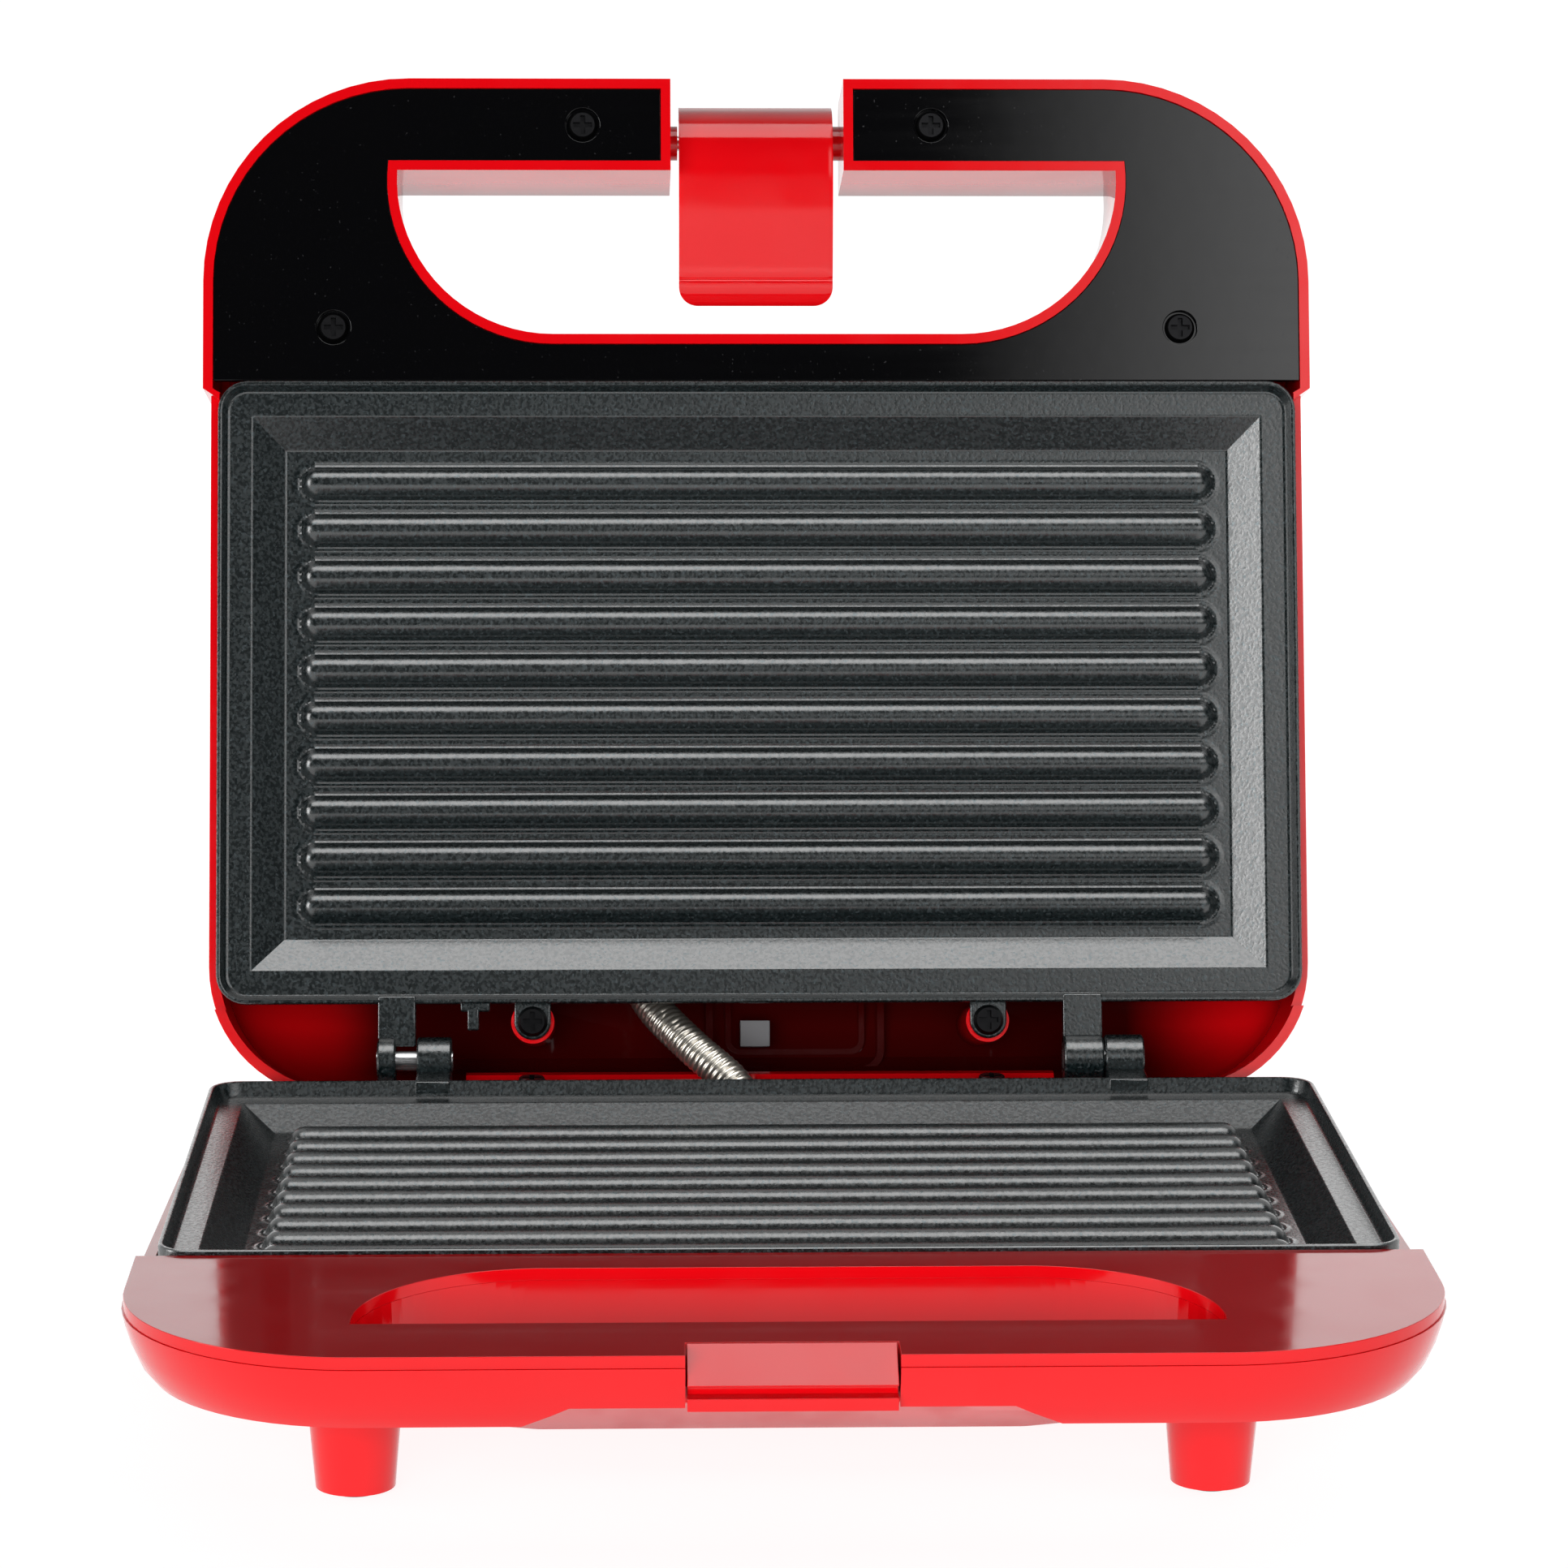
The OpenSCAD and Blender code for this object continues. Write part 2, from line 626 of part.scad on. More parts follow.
module terminal_block() {
  color("ivory") in_frame()
    translate([block_x, half_d - 11, -pan_h + 5.5]) difference() {
      cube([block_w, block_d, block_h]);
      for (i = [0 : 2]) translate([block_pitch * (i + 0.5), 0, 0]) {
        translate([0, -1, 4]) rotate([-90, 0, 0]) cylinder(h = 4.6, r = 2);
        translate([0, block_d / 2, 3.5]) cylinder(h = block_h, r = 1.8);
      }
    }
}

module cord_gland() {
  color(black) in_frame()
    translate([gland_x, base_rear, gland_z]) rotate([-90, 0, 0])
      difference() {
        union() {
          translate([0, 0, -6]) cylinder(h = 14, r = gland_r + 1.9);
          cylinder(h = 2.5, r = gland_r + 3.6);
          translate([0, 0, -7]) cylinder(h = 2.8, r = gland_r + 2.2);
        }
        translate([0, 0, -8]) cylinder(h = 20, r = gland_r);
      }
}

module base_wires() {
  color("white") in_frame()
    for (r = base_wire_routes) tube(r, wire_r);
}

// ---- lid ----

// The lid's outer blocks, or with d above 0 the hollows d inside them
module lid_body_ring(d, inset) {
  corners(lid_half - inset - d, step_y - 1 + inset + d, rear_y - inset - d, 2, rear_r - inset - d);
}

module lid_body_block(d) {
  p = lid_body_profile;
  hull() {
    prism(d > 0 ? p[0][1] - 4 : p[0][1], p[1][1]) lid_body_ring(d, 0);
    for (i = [2 : len(p) - 1]) layer(p[i][1] - d - sheet) lid_body_ring(d, p[i][0]);
  }
}

module lid_handle_ring(d, inset) {
  corners(lid_handle_half - inset - d, front_y + inset + d, step_y, handle_r - inset - d, 0);
}

module lid_handle_block(d) {
  p = lid_handle_profile;
  hull() {
    prism(d > 0 ? p[0][1] - 2 : p[0][1], p[1][1]) lid_handle_ring(d, 0);
    for (i = [2 : len(p) - 1]) layer(p[i][1] - d - sheet) lid_handle_ring(d, p[i][0]);
  }
}

module latch_slot(g) {
  translate([-latch_gap / 2 - g, front_y - 5]) square([latch_gap + 2 * g, bar_w + 8 + g]);
}

module lid_shell() {
  notch = 61;
  color(red) on_lid() {
    difference() {
      union() {
        difference() {
          union() {
            lid_body_block(0);
            lid_handle_block(0);
            // back wall, down to the meeting plane behind the plate
            prism(edge_gap, flange_t + 1) intersection() {
              slab(lid_half, step_y, rear_y, 0, rear_r);
              translate([-lid_half, half_d + 1]) square([2 * lid_half, 60]);
            }
          }
          lid_body_block(wall);
          difference() {
            lid_handle_block(wall);
            prism(-1, lid_handle_h) finger_outline(wall);
            prism(-1, lid_handle_h) latch_slot(wall);
          }
          // opens the handle's hollow into the body's
          translate([-lid_half + 8, step_y - 6, meet]) cube([2 * (lid_half - 8), 12, lid_handle_h - wall - 3]);
          prism(-1, flange_t + 1.1) slab(lid_half - wall, step_y + 1, rear_y - wall, 0, rear_r - wall);
        }
        both_sides() {
          // screw posts of the plate and of the handle cover
          translate([ear_x, ear_y, meet + flange_t]) cylinder(h = lid_h - wall - 3.9, r = post_r);
          for (p = cover_screws) translate([p[0], p[1], edge_gap + 0.6 + cover_t])
            cylinder(h = lid_handle_h - wall - cover_t, r = 3.4);
          // bosses round the ends of the latch pin
          translate([latch_w / 2 + part_gap, latch_y, latch_pin_up]) rotate([0, 90, 0])
            cylinder(h = (latch_gap - latch_w) / 2 + 2, r = hub_r - 0.4);
        }
        // ring and clip seat on the ceiling
        translate([ring_x, ring_y, 0]) {
          prism(lid_h - wall - 4, lid_h - wall + 0.3) difference() {
            slab(18.7, -14, 13.5, 5, 5);
            slab(17.2, -12.5, 12, 3.5, 3.5);
          }
          prism(lid_h - wall - 2.4, lid_h - wall + 0.3) difference() {
            slab(14.6, -10, 9.5, 3, 3);
            slab(13.4, -8.8, 8.3, 2, 2);
          }
        }
      }
      prism(-1, lid_handle_h + 5) finger_outline(0);
      // the back wall is notched between the hinges
      translate([-notch, rear_y - wall - 6, -1]) cube([2 * notch, 20, 12.3]);
      prism(-1, lid_handle_h + 5) difference() {
        latch_slot(0);
        both_sides() translate([latch_w / 2 + part_gap, latch_y - hub_r - 1]) square([4, 2 * hub_r + 2]);
      }
      // clears the slot above and below the bosses
      both_sides() translate([latch_w / 2 - 1, latch_y, 0]) difference() {
        translate([0, -hub_r - 2, -1]) cube([(latch_gap - latch_w) / 2 + 1, 2 * hub_r + 4, lid_handle_h + 4]);
        translate([0, 0, latch_pin_up]) rotate([0, 90, 0]) cylinder(h = 8, r = hub_r - 0.4);
      }
      translate([-30, latch_y, latch_pin_up]) rotate([0, 90, 0]) cylinder(h = 60, r = latch_pin_r);
      both_sides() {
        translate([ear_x, ear_y, 0]) cylinder(h = 18, r = screw_r + run_gap);
        for (p = cover_screws) translate([p[0], p[1], 0]) cylinder(h = 16, r = screw_r + run_gap);
        translate([lens_x, lens_y, lid_h - 8]) cylinder(h = 20, r = lens_r + 0.05);
      }
    }
  }
}

module handle_cover() {
  color(black) on_lid()
    difference() {
      prism(edge_gap + 0.6, edge_gap + 0.6 + cover_t)
        slab(lid_handle_half - border - 0.1, front_y + border + 0.1, cover_back, handle_r - border - 0.1, 0);
      prism(-1, 10) finger_outline(wall + 0.1);
      prism(-1, 10) latch_slot(wall + 0.1);
      both_sides() for (p = cover_screws) translate([p[0], p[1], 0]) {
        cylinder(h = 10, r = screw_r + 0.3);
        cylinder(h = edge_gap + 0.6 + 1.3, r = head_r + 0.45);
      }
    }
}

module handle_cover_screws() {
  color("dimgray") on_lid()
    both_sides() for (p = cover_screws) translate([p[0], p[1], edge_gap + 0.6 + 1.3]) rotate([180, 0, 0]) screw(11);
}

module upper_plate() {
  color(casting) on_lid() {
    mirror([0, 0, 1]) plate_body();
    hinge_arm(-knuckle_in - hinge_w, -knuckle_in - knuckle_w - axis_gap,
              -knuckle_in - hinge_w, -knuckle_in - hinge_w + thin_knuckle_w, meet);
    hinge_arm(knuckle_in - arm_step, right_knuckle - axis_gap, knuckle_in - arm_step, right_knuckle - axis_gap, meet);
    // small cast tab beside the left screw ear
    translate([-61, half_d - 1, meet + 0.8]) cube([6, 2.6, flange_t - 1]);
    translate([-59.6, half_d - 1, meet + 0.8]) cube([2.4, 6.4, flange_t - 1]);
  }
}

module upper_heating_element() {
  color(steel) on_lid() mirror([0, 0, 1]) heating_element();
}

module upper_heat_shield() {
  color(steel) on_lid() mirror([0, 0, 1]) heat_shield();
}

module upper_plate_screws() {
  color("dimgray") on_lid()
    both_sides() translate([ear_x, ear_y, meet + ear_drop]) rotate([180, 0, 0]) screw(11);
}

module lamp_lens(x) {
  translate([x, lens_y, lid_h - 3]) cylinder(h = 3.6, r = lens_r);
  translate([x, lens_y, lid_h - wall - 1.2]) cylinder(h = 1.15, r = lens_r + 1.2);
}

module power_lamp_lens() {
  color("crimson") on_lid() lamp_lens(-lens_x);
}

module ready_lamp_lens() {
  color("limegreen") on_lid() lamp_lens(lens_x);
}

module neon_lamps() {
  color("orange") on_lid()
    both_sides() translate([lens_x, lens_y, lid_h - 11.5]) {
      cylinder(h = 6, r = 2);
      translate([0, 0, 6]) sphere(2);
    }
}

module lamp_holder() {
  color("ivory") on_lid()
    difference() {
      translate([-lens_x - 6, lens_y - 6, lid_h - 13]) cube([2 * lens_x + 12, 12, 9.75]);
      both_sides() translate([lens_x, lens_y, lid_h - 11.5]) cylinder(h = 20, r = 3);
    }
}

module thermal_fuse() {
  color("white") on_lid() {
    translate([fuse_x, fuse_y, fuse_z]) rotate([0, 90, 0]) cylinder(h = fuse_l, r = 2.2);
  }
}

module lid_wires() {
  color("white") on_lid()
    for (r = lid_wire_routes) tube(r, wire_r);
}

module conduit_clip() {
  color("gray") on_lid()
    difference() {
      translate([-3.6, ring_y + 2.5, lid_h - wall - 9]) cube([6.2, 5.4, 7.2]);
      translate([-2.2, ring_y + 1.5, lid_h - wall - 7.6]) cube([3.4, 8, 3.6]);
    }
}

module latch_pin() {
  color(steel) on_lid()
    translate([-latch_gap / 2 - 1.6, latch_y, latch_pin_up]) rotate([0, 90, 0])
      cylinder(h = latch_gap + 3.2, r = latch_pin_r);
}

// ---- latch, hanging straight down from its pin ----

module latch_profile() {
  face_r = 60;
  y_out = -latch_in - latch_t;
  difference() {
    union() {
      circle(latch_cap_r);
      // front face, from over the pin down to the lip
      polygon([[0, latch_cap_r], [-5, latch_cap_r - 0.8], [y_out + 2.2, -2], [y_out + 0.6, -8], [y_out, -16],
               [y_out, -latch_drop + 2], [y_out + 1.4, -latch_drop], [-latch_in, -latch_drop], [-latch_in, -6],
               [-4, 2], [0, 2]]);
    }
    // hollow behind the face, open to the back
    difference() {
      union() {
        circle(latch_cap_r - latch_t);
        polygon([[0, 0], [-latch_in + 3, -3], [-latch_in, -8], [-latch_in, -latch_drop - 1], [20, -latch_drop - 1],
                 [20, -2.5]]);
        translate([-1, -20]) square([20, 22.5]);
      }
      circle(hub_r);
    }
  }
  // hooking ridge
  polygon([[-latch_in - eps, -27.2], [-latch_in + 1.9, -27.2], [-latch_in + 1.9, -27.7], [-latch_in - eps, -28.3]]);
}

module latch() {
  lip_r = 4;
  color(red) in_frame() translate(latch_at)
    difference() {
      union() {
        translate([-latch_w / 2, 0, 0]) rotate([90, 0, 90]) linear_extrude(latch_w) latch_profile();
        // webs that tie the hub to the face
        for (x = [-latch_w / 2, -1, latch_w / 2 - 2]) translate([x, 0, 0]) rotate([90, 0, 90]) linear_extrude(2)
          polygon([[0, 2], [-4, 3], [-latch_in - 1, -4], [-latch_in - 1, -9], [-2, -3]]);
      }
      translate([-latch_w, 0, 0]) rotate([0, 90, 0]) cylinder(h = 2 * latch_w, r = latch_pin_r + run_gap);
      both_sides() translate([latch_w / 2 - lip_r, -30, -latch_drop]) difference() {
        translate([0, 0, -1]) cube([lip_r + 1, 30, lip_r + 1]);
        translate([0, 0, lip_r]) rotate([-90, 0, 0]) cylinder(h = 30, r = lip_r);
      }
    }
}

module wiring_conduit() {
  color("silver") in_frame() tube(conduit_route, conduit_r, 5, 12);
}

base_shell();
base_handle_cover();
latch_catch();
lower_plate();
lower_heating_element();
lower_heat_shield();
lower_plate_screws();
base_cover_screws();
foot_pads();
hinge_pin_left();
hinge_pin_right();
thermostat();
terminal_block();
cord_gland();
base_wires();
lid_shell();
handle_cover();
handle_cover_screws();
upper_plate();
upper_heating_element();
upper_heat_shield();
upper_plate_screws();
power_lamp_lens();
ready_lamp_lens();
neon_lamps();
lamp_holder();
thermal_fuse();
lid_wires();
conduit_clip();
latch_pin();
latch();
wiring_conduit();
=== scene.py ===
# %% [markdown]
# # A panini press, standing open
# The press has two ribbed grill plates in glossy red housings, joined by a hinge at the back.
# This lesson finishes the looks of a model whose sizes are already fixed. A frame of plain
# solids is loaded first, and every new piece is placed from it, so nothing is fitted by eye.

# %% Load the frame
import json
import math
import bpy
import bmesh
from mathutils import Matrix, Vector


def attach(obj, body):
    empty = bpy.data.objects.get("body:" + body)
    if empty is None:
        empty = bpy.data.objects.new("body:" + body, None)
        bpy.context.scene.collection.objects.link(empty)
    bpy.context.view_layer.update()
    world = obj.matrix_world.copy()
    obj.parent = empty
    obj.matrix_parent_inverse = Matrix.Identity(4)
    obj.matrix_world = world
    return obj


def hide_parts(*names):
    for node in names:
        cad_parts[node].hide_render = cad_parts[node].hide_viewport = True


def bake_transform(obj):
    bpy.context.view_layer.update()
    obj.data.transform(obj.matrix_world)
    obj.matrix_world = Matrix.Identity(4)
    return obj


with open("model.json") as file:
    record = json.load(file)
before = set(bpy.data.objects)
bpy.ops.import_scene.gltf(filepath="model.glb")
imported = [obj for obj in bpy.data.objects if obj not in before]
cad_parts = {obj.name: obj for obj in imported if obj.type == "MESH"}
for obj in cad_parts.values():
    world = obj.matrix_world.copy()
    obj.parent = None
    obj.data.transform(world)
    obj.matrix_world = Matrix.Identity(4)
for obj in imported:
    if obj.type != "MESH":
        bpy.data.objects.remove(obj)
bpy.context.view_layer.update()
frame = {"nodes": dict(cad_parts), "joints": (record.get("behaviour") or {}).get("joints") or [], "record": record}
nodes = frame["nodes"]
for plain_material in list(bpy.data.materials):
    bpy.data.materials.remove(plain_material)

# %% [markdown]
# ## Places
# A designer draws a hinged object closed, in one simple set of axes, and lets the hinge turn it
# open. The same is done here: millimetres, with the origin in the middle of the lower plate, on
# the plane where the closed plates meet. Three matrices then carry a drawing to the base, the
# open lid or the hanging latch. They come from the joints, so they follow the frame.

# %% Matrices for the base, the lid and the latch
joints = {joint["name"]: joint for joint in frame["joints"]}
hinge_pin = Vector(joints["lid_hinge"]["pos_m"])
latch_pin = Vector(joints["latch_pivot"]["pos_m"])
open_angle = math.radians(joints["lid_hinge"]["range_deg"][1])
mm = 0.001
pin_back, pin_up = 75.3, 1.0

on_base = Matrix.Translation(hinge_pin) @ Matrix.Scale(mm, 4) @ Matrix.Translation((0, -pin_back, -pin_up))
swing = Matrix.Translation(hinge_pin) @ Matrix.Rotation(-open_angle, 4, "X") @ Matrix.Translation(-hinge_pin)
on_lid = swing @ on_base
on_latch = Matrix.Translation(latch_pin) @ Matrix.Scale(mm, 4)
print("lid opens", round(math.degrees(open_angle), 1), "degrees about", tuple(hinge_pin))

# %% [markdown]
# ## Camera
# The camera is a long lens about a metre in front of the press, a little to its left and looking
# down by ten degrees. A long lens keeps the two plates nearly undistorted. The turn is built from
# three angles, which is easier to read than a matrix of nine numbers.

# %% Camera
pitch, yaw, roll = math.radians(10.29), math.radians(1.79), math.radians(-0.18)
ahead = Vector((math.sin(yaw) * math.cos(pitch), math.cos(yaw) * math.cos(pitch), -math.sin(pitch)))
level = Vector((math.cos(yaw), -math.sin(yaw), 0))
rise = level.cross(ahead)
right = level * math.cos(roll) - rise * math.sin(roll)
up = level * math.sin(roll) + rise * math.cos(roll)
camera_data = bpy.data.cameras.new("camera")
camera_data.lens = 118.98
camera_data.sensor_width = 36
camera_data.clip_end = 60
camera = bpy.data.objects.new("camera", camera_data)
camera.matrix_world = Matrix.Translation(on_base @ Vector((-27.57, -950.2, 244.14))) @ Matrix(
    (right, up, -ahead)).transposed().to_4x4()
bpy.context.scene.collection.objects.link(camera)
bpy.context.scene.camera = camera
print("camera at", tuple(round(c, 3) for c in camera.matrix_world.translation))

# %% [markdown]
# ## Shader maths
# A material is a graph of nodes, and written out node by node it is hard to read. A small class
# wraps one output socket, so that sums and products can be typed as in ordinary maths, and one
# method adds any other node. Every finish below is a few lines of such expressions.

# %% A socket that can be added and multiplied
class Wire:
    def __init__(self, socket):
        self.socket = socket
        self.tree = socket.id_data

    def put(self, kind, settings=None, inputs=None, out=0):
        """Adds a node of this kind: its settings first, then the values or wires of its sockets."""
        node = self.tree.nodes.new(kind)
        for key, value in (settings or {}).items():
            setattr(node, key, value)
        for key, value in (inputs or {}).items():
            if isinstance(value, Wire):
                self.tree.links.new(value.socket, node.inputs[key])
            else:
                node.inputs[key].default_value = value
        return Wire(node.outputs[out])

    def math(self, operation, first, second):
        return self.put("ShaderNodeMath", {"operation": operation}, {0: first, 1: second})

    def __add__(self, other):
        return self.math("ADD", self, other)

    def __sub__(self, other):
        return self.math("SUBTRACT", self, other)

    def __rsub__(self, other):
        return self.math("SUBTRACT", other, self)

    def __mul__(self, other):
        return self.math("MULTIPLY", self, other)

    __radd__ = __add__
    __rmul__ = __mul__

    def noise(self, size, detail=2.0):
        """Soft noise whose lumps are about size metres across."""
        return self.put("ShaderNodeTexNoise", {}, {"Vector": self, "Scale": 1 / size, "Detail": detail})

    def steps(self, low, high):
        """0 below low, 1 above high, and a ramp between."""
        return self.put("ShaderNodeMapRange", {"clamp": True},
                        {"Value": self, "From Min": low, "From Max": high})

    def tint(self, dark, light):
        """A colour between two, by this wire."""
        return self.put("ShaderNodeMix", {"data_type": "RGBA"},
                        {0: self, 6: (*dark, 1), 7: (*light, 1)}, out=2)

    def bump(self, depth, strength=1.0):
        return self.put("ShaderNodeBump", {}, {"Height": self, "Distance": depth, "Strength": strength})


# %% [markdown]
# ## Studio
# Glossy plastic shows its lamps more than its own colour, so what is mirrored and what lights the
# colour are set apart. A wide box above and one on the left are seen only as reflections: they
# draw a band along every rib and brighten the facing bevels. Low fills in front, behind and at
# the side light the colour and are not mirrored. The room, too, is only mirrored: a white
# backdrop behind the press, a white card on the right, and dark round the camera, as a studio
# with black flags is; straight to the eye it is white. The standard view keeps the red saturated.

# %% Lamps
def softbox(name, place, target, width, height, power, mirrored=True, lights=True):
    lamp_data = bpy.data.lights.new(name, "AREA")
    lamp_data.shape = "RECTANGLE"
    lamp_data.size, lamp_data.size_y, lamp_data.energy = width, height, power
    lamp = bpy.data.objects.new(name, lamp_data)
    aim = (Vector(target) - Vector(place)).to_track_quat("-Z", "Y")
    lamp.matrix_world = Matrix.Translation(place) @ aim.to_matrix().to_4x4()
    lamp.visible_glossy, lamp.visible_diffuse = mirrored, lights
    bpy.context.scene.collection.objects.link(lamp)
    print(name, power, "W")


press_middle = (0, 0, 0.1)
softbox("lamp_above", (0, -0.26, 1.4), press_middle, 1.8, 0.8, 18, lights=False)
softbox("lamp_left", (-1.48, -0.45, 0.42), press_middle, 0.6, 0.9, 14, lights=False)
softbox("fill_front", (-0.3, -1.6, 0.36), press_middle, 1.4, 0.6, 33, mirrored=False)
softbox("fill_back", (0.6, 1.6, 0.5), press_middle, 1.4, 0.8, 24, mirrored=False)
softbox("fill_right", (1.6, -0.2, 0.4), press_middle, 0.8, 0.8, 8, mirrored=False)
softbox("fill_left", (-1.6, 0.2, 0.4), press_middle, 0.8, 0.8, 8, mirrored=False)

# %% [markdown]
# The room is a world shader, painted by direction. A few ramps are enough: a backdrop that is
# brighter near the floor, the card, and a faint ceiling.

# %% Room
room = bpy.data.worlds.new("studio")
room.use_nodes = True
bpy.context.scene.world = room
room.cycles_visibility.diffuse = False
bpy.context.scene.view_settings.view_transform = "Standard"
background = room.node_tree.nodes["Background"]
background.inputs["Color"].default_value = (1, 1, 1, 1)
direction = Wire(room.node_tree.nodes.new("ShaderNodeTexCoord").outputs["Generated"])
to_right, to_back, to_top = (direction.put("ShaderNodeSeparateXYZ", {}, {0: direction}, out=i)
                             for i in range(3))
backdrop = to_back.steps(-0.05, 0.4) * 0.9 + to_top.steps(0.85, 0.98) * 0.1 + 0.012
backdrop += (0.4 - to_top).steps(0, 0.2) * to_back.steps(0.6, 0.9) * 1.1
card = (to_right.steps(0.065, 0.13) * to_top.steps(0.2, 0.3)
        * (0.62 - to_top).steps(0, 0.1) * (0 - to_back).steps(0.5, 0.7))
eye = Wire(room.node_tree.nodes.new("ShaderNodeLightPath").outputs["Is Camera Ray"])
glow = (card * 2.2 + backdrop) * (1 - eye) + eye
room.node_tree.links.new(glow.socket, background.inputs["Strength"])
print("room with", len(room.node_tree.nodes), "nodes")

# %% [markdown]
# The floor is one large square. Its finish glows a little, more so far away, so that it meets
# the white room without a line.

# %% Floor
floor_mesh = bpy.data.meshes.new("floor")
edge = 30
floor_mesh.from_pydata([(-edge, -edge, 0), (edge, -edge, 0), (edge, edge, 0), (-edge, edge, 0)],
                       [], [(0, 1, 2, 3)])
floor = bpy.data.objects.new("floor", floor_mesh)
bpy.context.scene.collection.objects.link(floor)
print("floor", 2 * edge, "m wide")

# %% [markdown]
# ## Finishes
# A finish starts from Blender's Principled shader. What is the same all over is set on the shader
# itself; what varies is linked. The coordinates are the object's own, in metres, so a grain of
# half a millimetre is that size on every piece, whatever the piece's shape.

# %% Start and finish of a material
def begin(name, **constants):
    material = bpy.data.materials.new(name)
    material.use_nodes = True
    shader = material.node_tree.nodes["Principled BSDF"]
    for key, value in constants.items():
        shader.inputs[key.replace("_", " ")].default_value = value
    place = Wire(material.node_tree.nodes.new("ShaderNodeTexCoord").outputs["Object"])
    return material, shader, place


def connect(shader, **wires):
    for key, wire in wires.items():
        wire.tree.links.new(wire.socket, shader.inputs[key.replace("_", " ")])


# %% [markdown]
# ## Red plastic
# The housings are polished ABS with a deep clear red. Three things sell it: a colour that shifts
# very slightly, a skin that is not perfectly flat (moulders call it orange peel), and a faint
# haze of handling in the gloss. Inside the lid, behind the plate, shade is painted into the
# colour, since the low front fill lights a hollow that should lie in shadow. That painted shade is
# a mask in the lid's own drawing: a Mapping node turns the coordinates back to the closed lid in
# millimetres, where the ceiling is simply a height. The mask knows only places, not sides, so the
# outer skin at the same height darkens with it: the top of the lid's handle, and the slopes at the front and back.

# %% Red plastic
# Painted shade: this mask darkens the lid's hollow, which the low front fill would otherwise light.
def painted_lid_shade(place):
    """1 at the height of the hollow's ceiling, fading to 0 at its side walls and below."""
    back = on_lid.inverted()
    drawn = place.put("ShaderNodeMapping", {}, {
        "Vector": place, "Location": back.to_translation(), "Rotation": back.to_euler(),
        "Scale": (1 / mm, 1 / mm, 1 / mm)})
    x, z = (drawn.put("ShaderNodeSeparateXYZ", {}, {0: drawn}, out=i) for i in (0, 2))
    ceiling = z.steps(14, 33) * (39.2 - z).steps(0, 0.5)
    return ceiling * (112 - x.math("ABSOLUTE", x, 0)).steps(8, 34)


def red_finish(name, deep, light, gloss=0.09, tone_mask=None):
    material, shader, place = begin(name, Coat_Roughness=0.03, IOR=1.42)
    drift = place.noise(0.07)
    haze = place.noise(0.012, 4).steps(0.45, 0.75)
    peel = place.noise(0.0035, 1)
    red = drift.tint(deep, light)
    if tone_mask:
        # Painted shade: the mask mixes the red towards near-black.
        red = place.put("ShaderNodeMix", {"data_type": "RGBA"},
                        {0: tone_mask(place), 6: red, 7: (0.035, 0.0008, 0.0008, 1)}, out=2)
    connect(shader, Base_Color=red, Roughness=haze * 0.07 + gloss,
            Coat_Weight=0.12 - haze * 0.06, Normal=peel.bump(0.00002, 0.35))
    return material


red_plastic = red_finish("red_plastic", (0.54, 0.0012, 0.0035), (0.62, 0.0016, 0.0045))
# The lid's red carries painted shade in the hollow behind the plate.
red_lid_painted_shade = red_finish("red_lid_painted_shade", (0.54, 0.0012, 0.0035), (0.62, 0.0016, 0.0045), tone_mask=painted_lid_shade)
print("made", red_plastic.name, "and", red_lid_painted_shade.name)

# %% [markdown]
# ## Black gloss
# The inner cover of the lid's handle is piano black: nearly all of what is seen in it is
# reflection. Fine dust and faint wiping marks keep it from looking like a hole.

# %% Black gloss
black_gloss, shader, place = begin("black_gloss", IOR=1.5)
wiping = place.put("ShaderNodeMapping", {}, {"Vector": place, "Scale": (30, 400, 400)}).noise(1.0, 3)
dust = place.noise(0.0005, 0).steps(0.8, 0.86)
connect(shader, Base_Color=dust.tint((0.0015, 0.0015, 0.0018), (0.012, 0.012, 0.013)),
        Roughness=wiping.steps(0.4, 0.8) * 0.03 + dust * 0.2 + 0.05,
        Normal=place.noise(0.006, 1).bump(0.00001, 0.3))
print("made", black_gloss.name)

# %% [markdown]
# ## Non-stick coating
# The plates are cast aluminium sprayed with a dark grey-green coating that holds tiny bright
# flakes. Sprayed coatings are satin and slightly pebbled, so the grain goes into the colour, the
# roughness and the height together.

# %% Non-stick coating
nonstick, shader, place = begin("nonstick", IOR=1.9)
grain = place.noise(0.0007, 2)
mottle = grain.steps(0.38, 0.64)
flakes = place.noise(0.0006, 0).steps(0.66, 0.74)
cloud = place.noise(0.03, 3)
coating = mottle.tint((0.0012, 0.0034, 0.0038), (0.0065, 0.0115, 0.0125))
coating = flakes.put("ShaderNodeMix", {"data_type": "RGBA"},
                     {0: flakes, 6: coating, 7: (0.06, 0.075, 0.08, 1)}, out=2)
connect(shader, Base_Color=coating, Roughness=mottle * 0.1 + cloud * 0.04 + 0.2,
        Metallic=flakes * 0.6, Normal=grain.bump(0.00008, 0.4))
print("made", nonstick.name, "with", len(nonstick.node_tree.nodes), "nodes")

# %% [markdown]
# ## Metals
# Drawn, plated and blackened steel differ mostly in colour and in how fine their scratches are.
# One function covers them all, with scratches that run along X as the pins and pressings do.

# %% Metals
def metal_finish(name, dark, light, rough, scratch=0.05):
    material, shader, place = begin(name)
    along = place.put("ShaderNodeMapping", {}, {"Vector": place, "Scale": (60, 2500, 2500)})
    scratches = along.noise(1.0, 3)
    tone_mask = place.noise(0.008, 4)
    connect(shader, Base_Color=tone_mask.tint(dark, light), Metallic=tone_mask * 0.1 + 0.9,
            Roughness=scratches * scratch * 2 + tone_mask * 0.08 + rough, Normal=scratches.bump(0.00001, 0.4))
    return material


